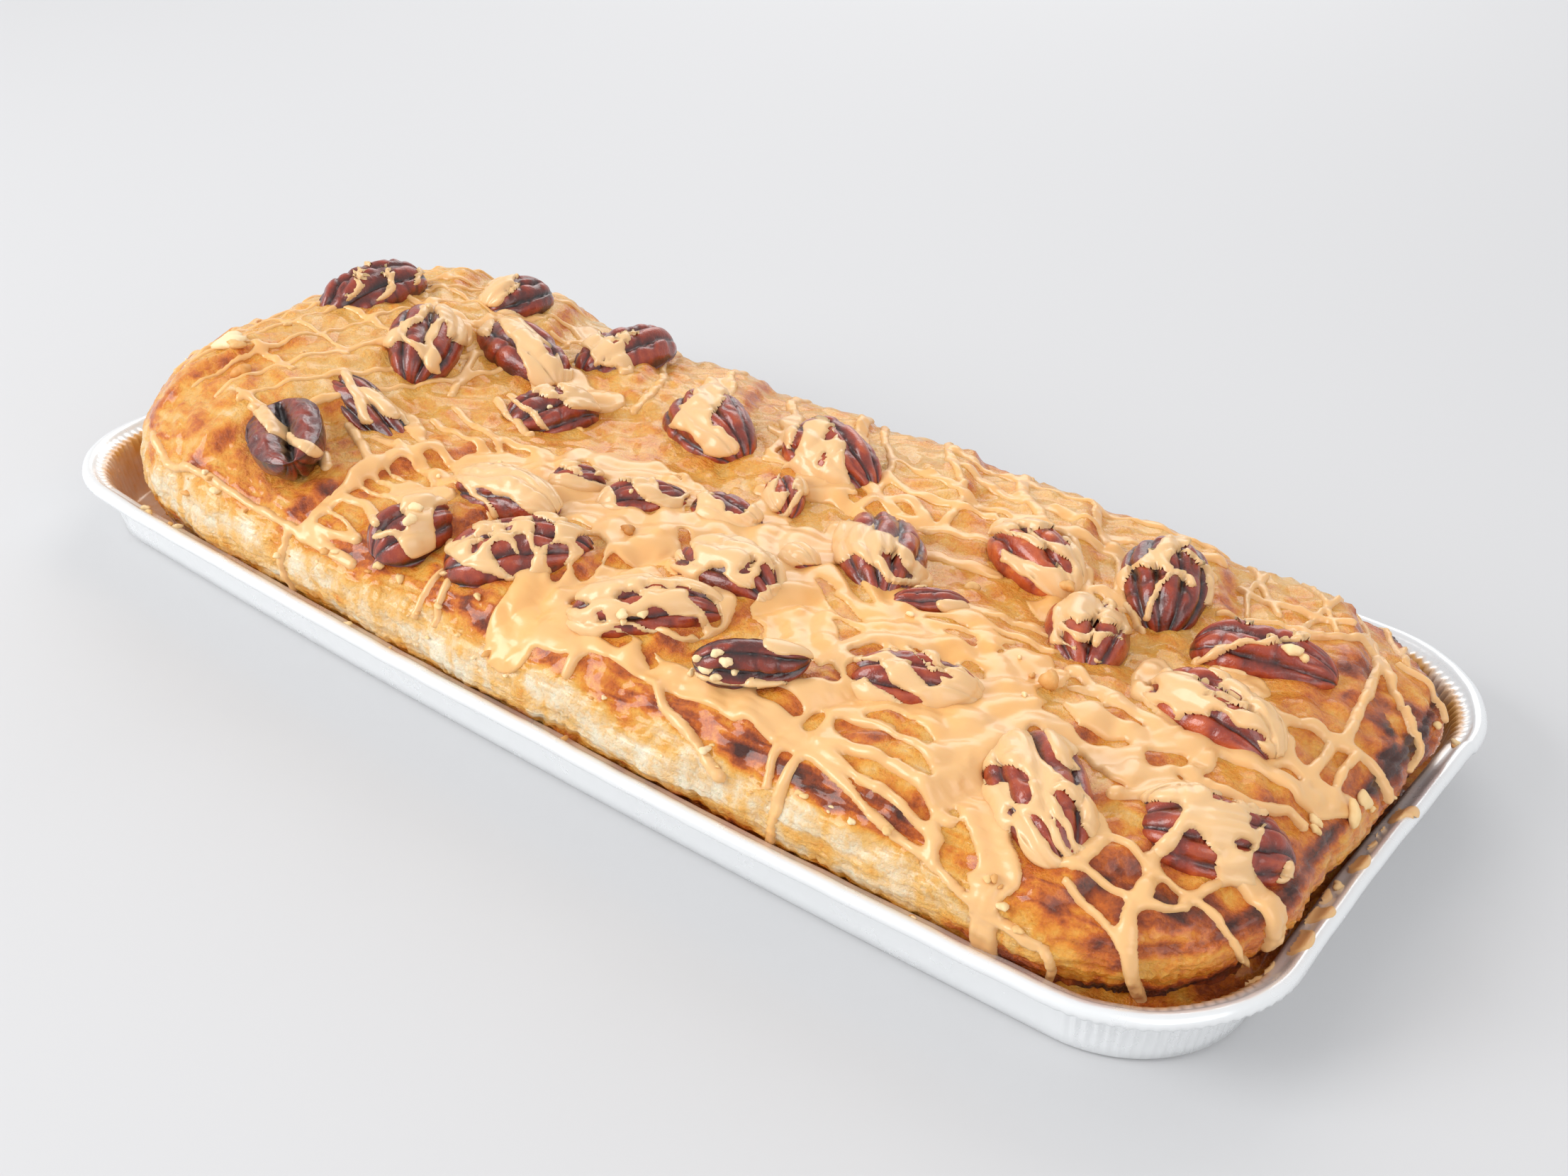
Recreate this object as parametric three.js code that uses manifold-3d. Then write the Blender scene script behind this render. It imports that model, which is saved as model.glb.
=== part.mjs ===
// A long braided danish pastry with pecan halves and drizzled icing, in its own foil tray.
// Millimetres. X runs along the tray, Y across it and Z up. The origin is under the middle of the tray.

import * as THREE from 'three';
import { mergeVertices } from 'three/addons/utils/BufferGeometryUtils.js';
import Module from 'manifold-3d';

// Driving dimensions of the tray
const TRAY_LENGTH = 311;
const TRAY_WIDTH = 142;
const TRAY_HEIGHT = 16.4;
const TRAY_CORNER_RADIUS = 31;
const LONG_SIDE_BOW = 4.2;
const SHORT_SIDE_BOW = -2;
const FOIL_THICKNESS = 0.65;

// Driving dimensions of the pastry
const PASTRY_INSET = 3.9;
const PASTRY_CORNER_RADIUS = 36;
const WIDEST_HEIGHT = 20;
const CROWN_HEIGHT = 37.5;
const LEFT_END_RISE = 7.5;
const RIGHT_END_DROP = 4;
const FAR_SIDE_DROP = 2;
const FAR_SIDE_PULL = 8.5;
const NEAR_LEFT_PULL = [9, 5];
const FAR_LEFT_PULL = 5.5;
const RIGHT_END_PULL = 1.5;
const TRENCH_DEPTH = 3.5;
const TRENCH_WIDTH = 15;
const SHOULDER_POWER = 2.2;
const FOLD_PITCH = 31;
const FOLD_HEIGHT = 2.8;
const FOLD_MEAN = 0.45;
const CRAG_HEIGHT = 0.6;

// Driving dimensions of the icing and the nuts
const ICING_HEIGHT = 1.5;
const ICING_ROOT = 1.6;
const NUT_HEIGHT_SHARE = 0.52;
const NUT_SINK_SHARE = 0.24;
const GAP = 0.4;

// Steps of the faceted surfaces
const CORE_STEP = 6.2;
const SHOULDER_STEPS = 6;
const CORNER_STEPS = 7;
const LONG_SIDE_STEPS = 9;
const SHORT_SIDE_STEPS = 4;
const STROKE_STEP = 8;

const wasm = await Module();
wasm.setup();

const foilMaterial = new THREE.MeshStandardMaterial({ color: '#cfd1d3', roughness: 0.3, metalness: 0.9 });
const pastryMaterial = new THREE.MeshStandardMaterial({ color: '#e3b06c', roughness: 0.45, metalness: 0 });
const nutMaterial = new THREE.MeshStandardMaterial({ color: '#6d3a2c', roughness: 0.3, metalness: 0 });

const clamp = THREE.MathUtils.clamp;
const lerp = THREE.MathUtils.lerp;

// Goes smoothly from 0 at one value to 1 at the other, in either direction.
function ramp(from, to, value) {
  const t = clamp((value - from) / (to - from), 0, 1);
  return t * t * (3 - 2 * t);
}

// The tray's long sides bulge out and its short sides are pressed in. The pastry follows them.
function bow(x, y, z) {
  const along = x / (TRAY_LENGTH / 2);
  const across = y / (TRAY_WIDTH / 2);
  const stretchX = 1 + (SHORT_SIDE_BOW / (TRAY_LENGTH / 2)) * (1 - across * across);
  const stretchY = 1 + (LONG_SIDE_BOW / (TRAY_WIDTH / 2)) * (1 - along * along);
  return new THREE.Vector3(x * stretchX, y * stretchY, z);
}

function geometryFrom(points, triangles) {
  const geometry = new THREE.BufferGeometry().setFromPoints(points);
  geometry.setIndex(triangles);
  return geometry;
}

function toSolid(geometry) {
  const bare = geometry.clone();
  bare.deleteAttribute('normal');
  bare.deleteAttribute('uv');
  const merged = mergeVertices(bare, 1e-4);
  const vertProperties = new Float32Array(merged.attributes.position.array);
  const triVerts = new Uint32Array(merged.index.array);
  return new wasm.Manifold(new wasm.Mesh({ numProp: 3, vertProperties, triVerts }));
}

// The largest connected body of a solid, so that no loose scrap of a join or cut stays behind.
function largestBody(solid) {
  const bodies = solid.decompose();
  bodies.sort((one, other) => other.volume() - one.volume());
  return bodies[0];
}

function toGeometry(solid) {
  const mesh = solid.getMesh();
  const geometry = new THREE.BufferGeometry();
  geometry.setAttribute('position', new THREE.BufferAttribute(new Float32Array(mesh.vertProperties), 3));
  geometry.setIndex(new THREE.BufferAttribute(new Uint32Array(mesh.triVerts), 1));
  geometry.computeVertexNormals();
  return geometry;
}

function namedMesh(name, geometry, material) {
  const mesh = new THREE.Mesh(geometry, material);
  mesh.name = name;
  geometry.computeVertexNormals();
  return mesh;
}

// Stations round a rounded rectangle: a corner or side point of its core and the direction outwards from it.
function rimStations() {
  const coreX = TRAY_LENGTH / 2 - TRAY_CORNER_RADIUS;
  const coreY = TRAY_WIDTH / 2 - TRAY_CORNER_RADIUS;
  const corners = [[1, 1], [-1, 1], [-1, -1], [1, -1]];
  const stations = [];
  corners.forEach(([signX, signY], corner) => {
    for (let step = 0; step <= CORNER_STEPS; step += 1) {
      const angle = (corner + step / CORNER_STEPS) * (Math.PI / 2);
      stations.push({ x: signX * coreX, y: signY * coreY, outX: Math.cos(angle), outY: Math.sin(angle) });
    }
    const [nextX, nextY] = corners[(corner + 1) % 4];
    const steps = nextX === signX ? SHORT_SIDE_STEPS : LONG_SIDE_STEPS;
    const last = stations[stations.length - 1];
    for (let step = 1; step < steps; step += 1) {
      const share = step / steps;
      const x = lerp(signX, nextX, share) * coreX;
      const y = lerp(signY, nextY, share) * coreY;
      stations.push({ x, y, outX: last.outX, outY: last.outY });
    }
  });
  return stations;
}

// The foil tray: one section, as inset from the rim and height, carried round the rim, with a closed floor.
function trayGeometry() {
  const section = [
    [9, 0], [7.6, 0.8], [5.2, 13.3], [3, 13.8],
    [1, 13.1], [0, 14.6], [0.9, TRAY_HEIGHT], [2.4, TRAY_HEIGHT - 0.1],
    [3.3, 14.9], [4.7, 14.6], [5.9, 13.5], [8.2, 1.5], [9.6, FOIL_THICKNESS],
  ];
  const stations = rimStations();
  const points = [];
  section.forEach(([inset, z]) => {
    stations.forEach((station) => {
      const reach = TRAY_CORNER_RADIUS - inset;
      points.push(bow(station.x + station.outX * reach, station.y + station.outY * reach, z));
    });
  });
  const count = stations.length;
  const triangles = [];
  for (let ring = 0; ring < section.length - 1; ring += 1) {
    for (let index = 0; index < count; index += 1) {
      const next = (index + 1) % count;
      const low = ring * count;
      const high = low + count;
      triangles.push(low + index, low + next, high + next);
      triangles.push(low + index, high + next, high + index);
    }
  }
  const underMiddle = points.push(new THREE.Vector3(0, 0, 0)) - 1;
  const floorMiddle = points.push(new THREE.Vector3(0, 0, FOIL_THICKNESS)) - 1;
  const lastRing = (section.length - 1) * count;
  for (let index = 0; index < count; index += 1) {
    const next = (index + 1) % count;
    triangles.push(underMiddle, next, index);
    triangles.push(floorMiddle, lastRing + index, lastRing + next);
  }
  return geometryFrom(points, triangles);
}

// The pastry's section beyond its flat core: reach from the core, share of the dome's height and base height.
function pastrySection() {
  const rows = [{ reach: 0, dome: 1, base: WIDEST_HEIGHT }];
  for (let step = 1; step <= SHOULDER_STEPS; step += 1) {
    const angle = (step / SHOULDER_STEPS) * (Math.PI / 2);
    const reach = PASTRY_CORNER_RADIUS * Math.sin(angle) ** (2 / SHOULDER_POWER);
    const dome = step === SHOULDER_STEPS ? 0 : Math.cos(angle) ** (2 / SHOULDER_POWER);
    rows.push({ reach, dome, base: WIDEST_HEIGHT });
  }
  const side = [[1.3, 16], [3, 12.6], [6.5, FOIL_THICKNESS + GAP]];
  side.forEach(([pulledIn, base]) => rows.push({ reach: PASTRY_CORNER_RADIUS - pulledIn, dome: 0, base }));
  return rows;
}

// Distance along the section's surface to each of its rows, on a dome of middling height.
function surfaceDistances(rows) {
  const distances = [0];
  for (let index = 1; index < rows.length; index += 1) {
    const [one, other] = [rows[index - 1], rows[index]];
    const rise = other.base - one.base + (other.dome - one.dome) * (CROWN_HEIGHT - WIDEST_HEIGHT);
    distances.push(distances[index - 1] + Math.hypot(other.reach - one.reach, rise));
  }
  return distances;
}

const section = pastrySection();
const distances = surfaceDistances(section);
const skirt = distances[distances.length - 1];
const coreX = TRAY_LENGTH / 2 - PASTRY_INSET - PASTRY_CORNER_RADIUS;
const coreY = TRAY_WIDTH / 2 - PASTRY_INSET - PASTRY_CORNER_RADIUS;

// The loaf is high at its left end, lower at its right end and far side, and has a trench along its middle.
function crown(x, y) {
  const ends = LEFT_END_RISE * ramp(-70, -100, x) - RIGHT_END_DROP * ramp(60, 130, x);
  const inTrench = ramp(-75, -45, x) * ramp(130, 105, x);
  const trench = TRENCH_DEPTH * Math.exp(-(((y - 2) / TRENCH_WIDTH) ** 2)) * inTrench;
  return CROWN_HEIGHT + ends - trench - FAR_SIDE_DROP * ramp(5, 50, y);
}

// The loaf doesn't fill the tray: it stands off its far side, and most of all off its near left corner.
function shrunkPlan(x, y) {
  const near = ramp(15, -60, y);
  const far = ramp(0, 60, y);
  const leftEnd = ramp(-85, -150, x);
  const rightEnd = ramp(95, 150, x);
  const [cornerX, cornerY] = NEAR_LEFT_PULL;
  const pullX = cornerX * leftEnd * near - RIGHT_END_PULL * rightEnd * ramp(-62, -25, y);
  const farPull = FAR_SIDE_PULL + FAR_LEFT_PULL * leftEnd + RIGHT_END_PULL * rightEnd;
  return [x + pullX, y + cornerY * leftEnd * near - farPull * far];
}

// Overlapping folds of dough along both long edges, and finer crags all over.
function relief(a, b) {
  const phase = (a + 0.45 * Math.abs(b)) / FOLD_PITCH;
  const share = phase - Math.floor(phase);
  const strength = ramp(14, 34, Math.abs(b)) * ramp(74, 58, Math.abs(b));
  const fold = (share ** 0.8 - ramp(0.82, 1, share) - FOLD_MEAN) * strength;
  const crags = Math.sin(a * 0.47 + 1.3 * Math.sin(b * 0.31)) * Math.sin(b * 0.53 + 1.7 * Math.sin(a * 0.23));
  return FOLD_HEIGHT * fold + CRAG_HEIGHT * crags;
}

// A point of the pastry's skin. a and b are a plan that is unrolled, so it carries on down the sides.
function skinPoint(a, b) {
  const nearX = clamp(a, -coreX, coreX);
  const nearY = clamp(b, -coreY, coreY);
  const distance = Math.hypot(a - nearX, b - nearY);
  const outX = distance > 0 ? (a - nearX) / distance : 0;
  const outY = distance > 0 ? (b - nearY) / distance : 0;
  let row = 1;
  while (row < section.length - 1 && distances[row] < distance) {
    row += 1;
  }
  const share = clamp((distance - distances[row - 1]) / (distances[row] - distances[row - 1]), 0, 1);
  const reach = lerp(section[row - 1].reach, section[row].reach, share);
  const dome = lerp(section[row - 1].dome, section[row].dome, share);
  const base = lerp(section[row - 1].base, section[row].base, share);
  const x = nearX + outX * reach;
  const y = nearY + outY * reach;
  const lean = 1 - dome;
  const raised = relief(a, b) * ramp(distances[SHOULDER_STEPS + 1], distances[SHOULDER_STEPS - 1], distance);
  const z = base + (crown(x, y) - WIDEST_HEIGHT) * dome + raised * (1 - lean * lean);
  const [planX, planY] = shrunkPlan(x + outX * raised * lean * lean, y + outY * raised * lean * lean);
  return bow(planX, planY, z);
}

function skinNormal(a, b) {
  const step = 2.5;
  const alongA = skinPoint(a + step, b).sub(skinPoint(a - step, b));
  const alongB = skinPoint(a, b + step).sub(skinPoint(a, b - step));
  return alongA.cross(alongB).normalize();
}

// Grid lines across the unrolled plan: even over the core, then one for each row of the section.
function gridLines(coreHalf) {
  const steps = Math.round((2 * coreHalf) / CORE_STEP);
  const lines = [];
  for (let row = section.length - 1; row > 0; row -= 1) {
    lines.push(-coreHalf - distances[row]);
  }
  for (let step = 0; step <= steps; step += 1) {
    lines.push(lerp(-coreHalf, coreHalf, step / steps));
  }
  for (let row = 1; row < section.length; row += 1) {
    lines.push(coreHalf + distances[row]);
  }
  return lines;
}

// Draws the square corner of a grid in to a quarter circle.
function roundedCorner(a, b) {
  const nearX = clamp(a, -coreX, coreX);
  const nearY = clamp(b, -coreY, coreY);
  const overX = (a - nearX) / skirt;
  const overY = (b - nearY) / skirt;
  const pulledX = overX * Math.sqrt(1 - (overY * overY) / 2);
  const pulledY = overY * Math.sqrt(1 - (overX * overX) / 2);
  return [nearX + pulledX * skirt, nearY + pulledY * skirt];
}

function loafGeometry() {
  const linesA = gridLines(coreX);
  const linesB = gridLines(coreY);
  const points = [];
  linesA.forEach((a) => {
    linesB.forEach((b) => points.push(skinPoint(...roundedCorner(a, b))));
  });
  const [countA, countB] = [linesA.length, linesB.length];
  const at = (i, j) => i * countB + j;
  const triangles = [];
  for (let i = 0; i < countA - 1; i += 1) {
    for (let j = 0; j < countB - 1; j += 1) {
      triangles.push(at(i, j), at(i + 1, j), at(i + 1, j + 1));
      triangles.push(at(i, j), at(i + 1, j + 1), at(i, j + 1));
    }
  }
  const edge = [];
  for (let i = 0; i < countA - 1; i += 1) {
    edge.push(at(i, 0));
  }
  for (let j = 0; j < countB - 1; j += 1) {
    edge.push(at(countA - 1, j));
  }
  for (let i = countA - 1; i > 0; i -= 1) {
    edge.push(at(i, countB - 1));
  }
  for (let j = countB - 1; j > 0; j -= 1) {
    edge.push(at(0, j));
  }
  const underMiddle = points.push(new THREE.Vector3(0, 0, FOIL_THICKNESS + GAP)) - 1;
  edge.forEach((corner, index) => {
    triangles.push(underMiddle, edge[(index + 1) % edge.length], corner);
  });
  return geometryFrom(points, triangles);
}

// A stroke of icing: a low rounded ribbon that follows the skin along a curve through a few plan points.
function strokeGeometry(width, plan) {
  const planPoints = plan.map(([a, b]) => new THREE.Vector3(a, b, 0));
  const curve = new THREE.CatmullRomCurve3(planPoints, false, 'centripetal');
  const steps = Math.max(2, Math.round(curve.getLength() / STROKE_STEP));
  const ribbon = [[-0.5, -ICING_ROOT], [-0.46, 0.25], [0, 1], [0.46, 0.25], [0.5, -ICING_ROOT]];
  const points = [];
  for (let step = 0; step <= steps; step += 1) {
    const middle = curve.getPointAt(step / steps);
    const heading = curve.getTangentAt(step / steps);
    ribbon.forEach(([side, height]) => {
      const a = middle.x - heading.y * side * width;
      const b = middle.y + heading.x * side * width;
      const rise = height > 0 ? height * ICING_HEIGHT : height;
      const normal = skinNormal(a, b);
      points.push(skinPoint(a, b).addScaledVector(normal, rise));
    });
  }
  const around = ribbon.length;
  const triangles = [];
  for (let step = 0; step < steps; step += 1) {
    for (let index = 0; index < around; index += 1) {
      const next = (index + 1) % around;
      const back = step * around;
      const front = back + around;
      triangles.push(back + index, front + next, back + next);
      triangles.push(back + index, front + index, front + next);
    }
  }
  const lastBand = steps * around;
  for (let index = 1; index < around - 1; index += 1) {
    triangles.push(0, index, index + 1);
    triangles.push(lastBand, lastBand + index + 1, lastBand + index);
  }
  return geometryFrom(points, triangles);
}

// The thick strokes of icing, as a width and a few points of the unrolled plan.
const thickStrokes = [
  [3.4, [[37, -60], [45, -66], [57, -71]]],
  [4.2, [[52, -50], [61, -53], [70, -60], [68, -70]]],
  [3.6, [[70, -60], [73, -66], [70, -76]]],
  [4, [[72, -57], [90, -64], [107, -69]]],
  [4, [[73, -52], [95, -58]]],
  [13, [[88, -44], [105, -56], [110, -70]]],
  [6, [[104, -30], [118, -42], [133, -37], [144, -42], [156, -43]]],
  [5, [[128, -52], [135, -61], [147, -72]]],
  [4, [[122, -60], [138, -66]]],
  [4, [[134, -57], [141, -52], [156, -50]]],
  [6, [[109, -30], [131, -19], [152, -8], [160, -6]]],
  [5, [[132, -5], [143, 3], [158, 5]]],
  [5, [[112, 9], [121, 30], [134, 46], [148, 45]]],
  [5, [[134, 46], [141, 16], [146, -10]]],
  [4, [[134, 46], [145, 31], [158, 20]]],
  [14, [[52, -34], [72, -28], [92, -30], [112, -34]]],
  [12, [[-20, 0], [8, -32], [28, -18], [56, -14], [84, -20]]],
];

// Finer drizzle that crosses the loaf in parallel strokes, thrown from side to side.
function crossingStrokes() {
  const runs = [
    { from: -132, to: -100, pitch: 16, near: -50, far: 10, slant: 22 },
    { from: -30, to: 60, pitch: 30, near: 26, far: 58, slant: 18 },
  ];
  const strokes = [];
  runs.forEach((run) => {
    for (let a = run.from; a <= run.to; a += run.pitch) {
      const middle = (run.near + run.far) / 2;
      strokes.push([3, [[a, run.near], [a + run.slant * 0.6, middle], [a + run.slant, run.far]]]);
    }
  });
  return strokes;
}

// The nuts: plan place, heading, length, width and lean about the long axis, angles in degrees.
const nuts = [
  [-119, 4, 81, 30, 18, 0],
  [-93, 34, 80, 20, 14, 0],
  [-88, -6, -50, 29, 18, 0],
  [-74, 14, -11, 33, 19, 0],
  [-60, 38, 82, 30, 18, 0],
  [-50, -2, 64, 23, 17, 8],
  [-75, -52, -33, 28, 17, 180],
  [-76, -31, -7, 33, 12, 20],
  [-32, -56, 75, 19, 15, 10],
  [-8, -50, 37, 31, 18, 0],
  [-25, -38, 1, 30, 14, 0],
  [-18, -24, 45, 12, 9, 0],
  [-3, -20, 51, 20, 12, 0],
  [13, -13, 8, 17, 11, 0],
  [-17, 17, -24, 30, 19, 0],
  [14, 23, -18, 28, 18, 0],
  [15, 3, -47, 15, 9, 0],
  [47, -6, -54, 33, 19, 0],
  [26, -50, 34, 30, 14, 0],
  [31, -32, -7, 25, 17, 0],
  [37, -19, -4, 8, 7, 0],
  [65, -14, 46, 16, 7, 0],
  [71, 14, -25, 24, 16, -8],
  [54, -53, 36, 21, 10, 90],
  [78, -38, 25, 25, 14, 0],
  [91, 0, -60, 25, 17, 0],
  [95, 25, -63, 27, 18, 0],
  [121, 16, 14, 28, 15, 0],
  [123, -10, -14, 27, 17, 0],
  [110, -48, -44, 30, 17, 0],
  [138, -37, 30, 28, 17, 0],
];

// Half a pecan, flat below: two lobes beside a groove, tapering to both ends.
function nutGeometry(length, width) {
  const height = NUT_HEIGHT_SHARE * width;
  const ring = [[-0.7, 0], [-1, 0.3], [-0.62, 0.95], [0, 0.72], [0.62, 0.95], [1, 0.3], [0.7, 0]];
  const stations = [-0.84, -0.52, -0.17, 0.18, 0.52, 0.84];
  const halfLength = length / 2;
  const points = [];
  stations.forEach((station) => {
    const wide = (1 - Math.abs(station) ** 2.3) ** 0.5 * (1 - 0.14 * station);
    const tall = (1 - Math.abs(station) ** 2.8) ** 0.5;
    ring.forEach(([side, up]) => {
      points.push(new THREE.Vector3(station * halfLength, side * wide * (width / 2), up * tall * height));
    });
  });
  const around = ring.length;
  const triangles = [];
  for (let band = 0; band < stations.length - 1; band += 1) {
    for (let index = 0; index < around; index += 1) {
      const next = (index + 1) % around;
      const back = band * around;
      const front = back + around;
      triangles.push(back + index, front + next, back + next);
      triangles.push(back + index, front + index, front + next);
    }
  }
  const tipHeight = 0.22 * height;
  const backTip = points.push(new THREE.Vector3(-halfLength, 0, tipHeight)) - 1;
  const frontTip = points.push(new THREE.Vector3(halfLength, 0, tipHeight)) - 1;
  const lastBand = (stations.length - 1) * around;
  for (let index = 0; index < around; index += 1) {
    const next = (index + 1) % around;
    triangles.push(backTip, index, next);
    triangles.push(frontTip, lastBand + next, lastBand + index);
  }
  return geometryFrom(points, triangles);
}

// The space that is cut out of the pastry for a nut: its eight-sided outline, a gap wider all round.
function seatGeometry(length, width) {
  const halfLength = length / 2 + GAP;
  const halfWidth = width / 2 + GAP;
  const quarter = [[1, 0.42], [0.62, 1], [-0.62, 1], [-1, 0.42]];
  const outline = [...quarter, ...quarter.map(([along, side]) => [-along, -side])];
  const corners = outline.map(([along, side]) => new THREE.Vector2(along * halfLength, side * halfWidth));
  const shape = new THREE.Shape(corners);
  const depth = NUT_HEIGHT_SHARE * width + 2 * GAP;
  return new THREE.ExtrudeGeometry(shape, { depth, bevelEnabled: false }).translate(0, 0, -GAP);
}

// Where a nut sits: on the skin, its flat side along it, sunk a little and turned by its heading and lean.
function nutPlace([a, b, heading, length, width, lean]) {
  const up = skinNormal(a, b);
  const turn = THREE.MathUtils.degToRad(heading);
  const along = new THREE.Vector3(Math.cos(turn), Math.sin(turn), 0);
  along.addScaledVector(up, -along.dot(up)).normalize();
  const across = up.clone().cross(along);
  const place = new THREE.Matrix4().makeBasis(along, across, up);
  const roll = new THREE.Matrix4().makeRotationX(THREE.MathUtils.degToRad(lean));
  const upsideDown = Math.abs(Math.sin(THREE.MathUtils.degToRad(lean) / 2));
  const height = NUT_HEIGHT_SHARE * width;
  const onSide = Math.abs(Math.sin(THREE.MathUtils.degToRad(lean)));
  const raised = upsideDown * upsideDown * height * (1 - onSide) + onSide * onSide * (width / 2);
  place.multiply(roll);
  place.setPosition(skinPoint(a, b).addScaledVector(up, raised - NUT_SINK_SHARE * height));
  return place;
}

function nutMesh(nut, index) {
  const [, , , length, width] = nut;
  const name = `pecan_${String(index + 1).padStart(2, '0')}`;
  const mesh = namedMesh(name, nutGeometry(length, width), nutMaterial);
  mesh.applyMatrix4(nutPlace(nut));
  return mesh;
}

// The pastry is the loaf with its icing joined on and a seat cut out of it for each nut.
function pastrySolid() {
  let solid = toSolid(loafGeometry());
  [...thickStrokes, ...crossingStrokes()].forEach(([width, plan]) => {
    solid = solid.add(toSolid(strokeGeometry(width, plan)));
  });
  nuts.forEach((nut) => {
    const [, , , length, width] = nut;
    const seat = seatGeometry(length, width).applyMatrix4(nutPlace(nut));
    solid = solid.subtract(toSolid(seat));
  });
  return largestBody(solid);
}

const danish = new THREE.Group();
danish.add(namedMesh('foil_tray', trayGeometry(), foilMaterial));
danish.add(namedMesh('pastry', toGeometry(pastrySolid()), pastryMaterial));
nuts.forEach((nut, index) => danish.add(nutMesh(nut, index)));

export default danish;
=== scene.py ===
"""Looks of a long braided danish pastry with pecans and maple icing, in its foil tray.

Lengths in this script are millimetres, in the frame of the CAD model, and become metres as meshes are made.
"""

import math

import bmesh
import bpy
import numpy as np
from mathutils import Matrix, Vector
from mathutils.bvhtree import BVHTree


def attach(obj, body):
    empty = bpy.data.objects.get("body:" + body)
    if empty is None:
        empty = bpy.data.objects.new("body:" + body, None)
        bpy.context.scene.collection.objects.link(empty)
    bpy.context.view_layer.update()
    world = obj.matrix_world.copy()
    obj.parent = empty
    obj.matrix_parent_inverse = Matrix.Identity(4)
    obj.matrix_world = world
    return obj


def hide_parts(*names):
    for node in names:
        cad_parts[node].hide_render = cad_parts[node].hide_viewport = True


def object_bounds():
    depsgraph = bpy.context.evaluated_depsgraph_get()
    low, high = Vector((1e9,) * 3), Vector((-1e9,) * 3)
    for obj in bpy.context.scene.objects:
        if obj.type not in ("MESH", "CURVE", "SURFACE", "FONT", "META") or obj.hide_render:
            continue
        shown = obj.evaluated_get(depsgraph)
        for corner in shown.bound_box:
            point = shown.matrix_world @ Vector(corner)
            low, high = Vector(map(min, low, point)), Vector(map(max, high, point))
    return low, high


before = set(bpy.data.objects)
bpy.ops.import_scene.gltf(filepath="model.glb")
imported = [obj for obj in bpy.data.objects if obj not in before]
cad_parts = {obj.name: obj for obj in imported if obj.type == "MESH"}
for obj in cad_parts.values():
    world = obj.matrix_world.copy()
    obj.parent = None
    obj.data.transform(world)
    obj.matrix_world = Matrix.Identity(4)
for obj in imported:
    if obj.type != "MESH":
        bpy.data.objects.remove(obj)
cad_box = [list(corner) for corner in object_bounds()]

MM = 0.001

# The tray and the pastry, with the same numbers as the CAD model
TRAY_LENGTH, TRAY_WIDTH, TRAY_HEIGHT = 311.0, 142.0, 16.4
TRAY_CORNER_RADIUS = 31.0
LONG_SIDE_BOW, SHORT_SIDE_BOW = 4.2, -2.0
PASTRY_INSET, PASTRY_CORNER_RADIUS = 3.9, 36.0
WIDEST_HEIGHT, CROWN_HEIGHT = 20.0, 37.5
LEFT_END_RISE, RIGHT_END_DROP, FAR_SIDE_DROP = 7.5, 4.0, 2.0
FAR_SIDE_PULL, FAR_LEFT_PULL, RIGHT_END_PULL = 8.5, 5.5, 1.5
NEAR_LEFT_PULL = (9.0, 5.0)
TRENCH_DEPTH, TRENCH_WIDTH = 3.5, 15.0
SHOULDER_POWER, SHOULDER_STEPS = 2.2, 28
SIDE_SECTION = ((0.25, 18.2), (1.3, 16.0), (3.0, 12.6), (6.5, 1.05))  # inset and height below the widest place
FOLD_PITCH, FOLD_HEIGHT, FOLD_MEAN, CRAG_HEIGHT = 31.0, 2.8, 0.45, 0.6
NUT_HEIGHT_SHARE, NUT_SINK_SHARE = 0.52, 0.24
NUT_ROWS, NUT_AROUND = 72, 90
FIRST_NUT_SEED = 100

# Where the photo was taken from
CAMERA_PLACE = (210.4, -255.7, 201.3)

# The nuts: plan place, heading, length, width, lean, and how light their brown is
NUTS = [
    (-119, 4, 81, 30, 18, 0, 0.22), (-93, 34, 80, 20, 14, 0, 0.22), (-88, -6, -50, 29, 18, 0, 0.26),
    (-74, 14, -11, 33, 19, 0, 0.3), (-60, 38, 82, 30, 18, 0, 0.3), (-50, -2, 64, 23, 17, 8, 0.3),
    (-75, -52, -33, 28, 17, 180, 0.14), (-76, -31, -7, 33, 12, 20, 0.22), (-32, -56, 75, 19, 15, 10, 0.28),
    (-8, -50, 37, 31, 18, 0, 0.3), (-25, -38, 1, 30, 14, 0, 0.3), (-18, -24, 45, 12, 9, 0, 0.26),
    (-3, -20, 51, 20, 12, 0, 0.3), (13, -13, 8, 17, 11, 0, 0.26), (-17, 17, -24, 30, 19, 0, 0.36),
    (14, 23, -18, 28, 18, 0, 0.4), (15, 3, -47, 15, 9, 0, 0.44), (47, -6, -54, 33, 19, 0, 0.34),
    (26, -50, 34, 30, 14, 0, 0.32), (31, -32, -7, 25, 17, 0, 0.3), (37, -19, -4, 8, 7, 0, 0.36),
    (65, -14, 46, 16, 7, 0, 0.34), (71, 14, -25, 24, 16, -8, 0.48), (54, -53, 36, 21, 10, 90, 0.18),
    (78, -38, 25, 25, 14, 0, 0.36), (91, 0, -60, 25, 17, 0, 0.38), (95, 25, -63, 27, 18, 0, 0.22),
    (121, 16, 14, 28, 15, 0, 0.36), (123, -10, -14, 27, 17, 0, 0.42), (110, -48, -44, 30, 17, 0, 0.34),
    (138, -37, 30, 28, 17, 0, 0.36),
]


# Seeded noise

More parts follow.
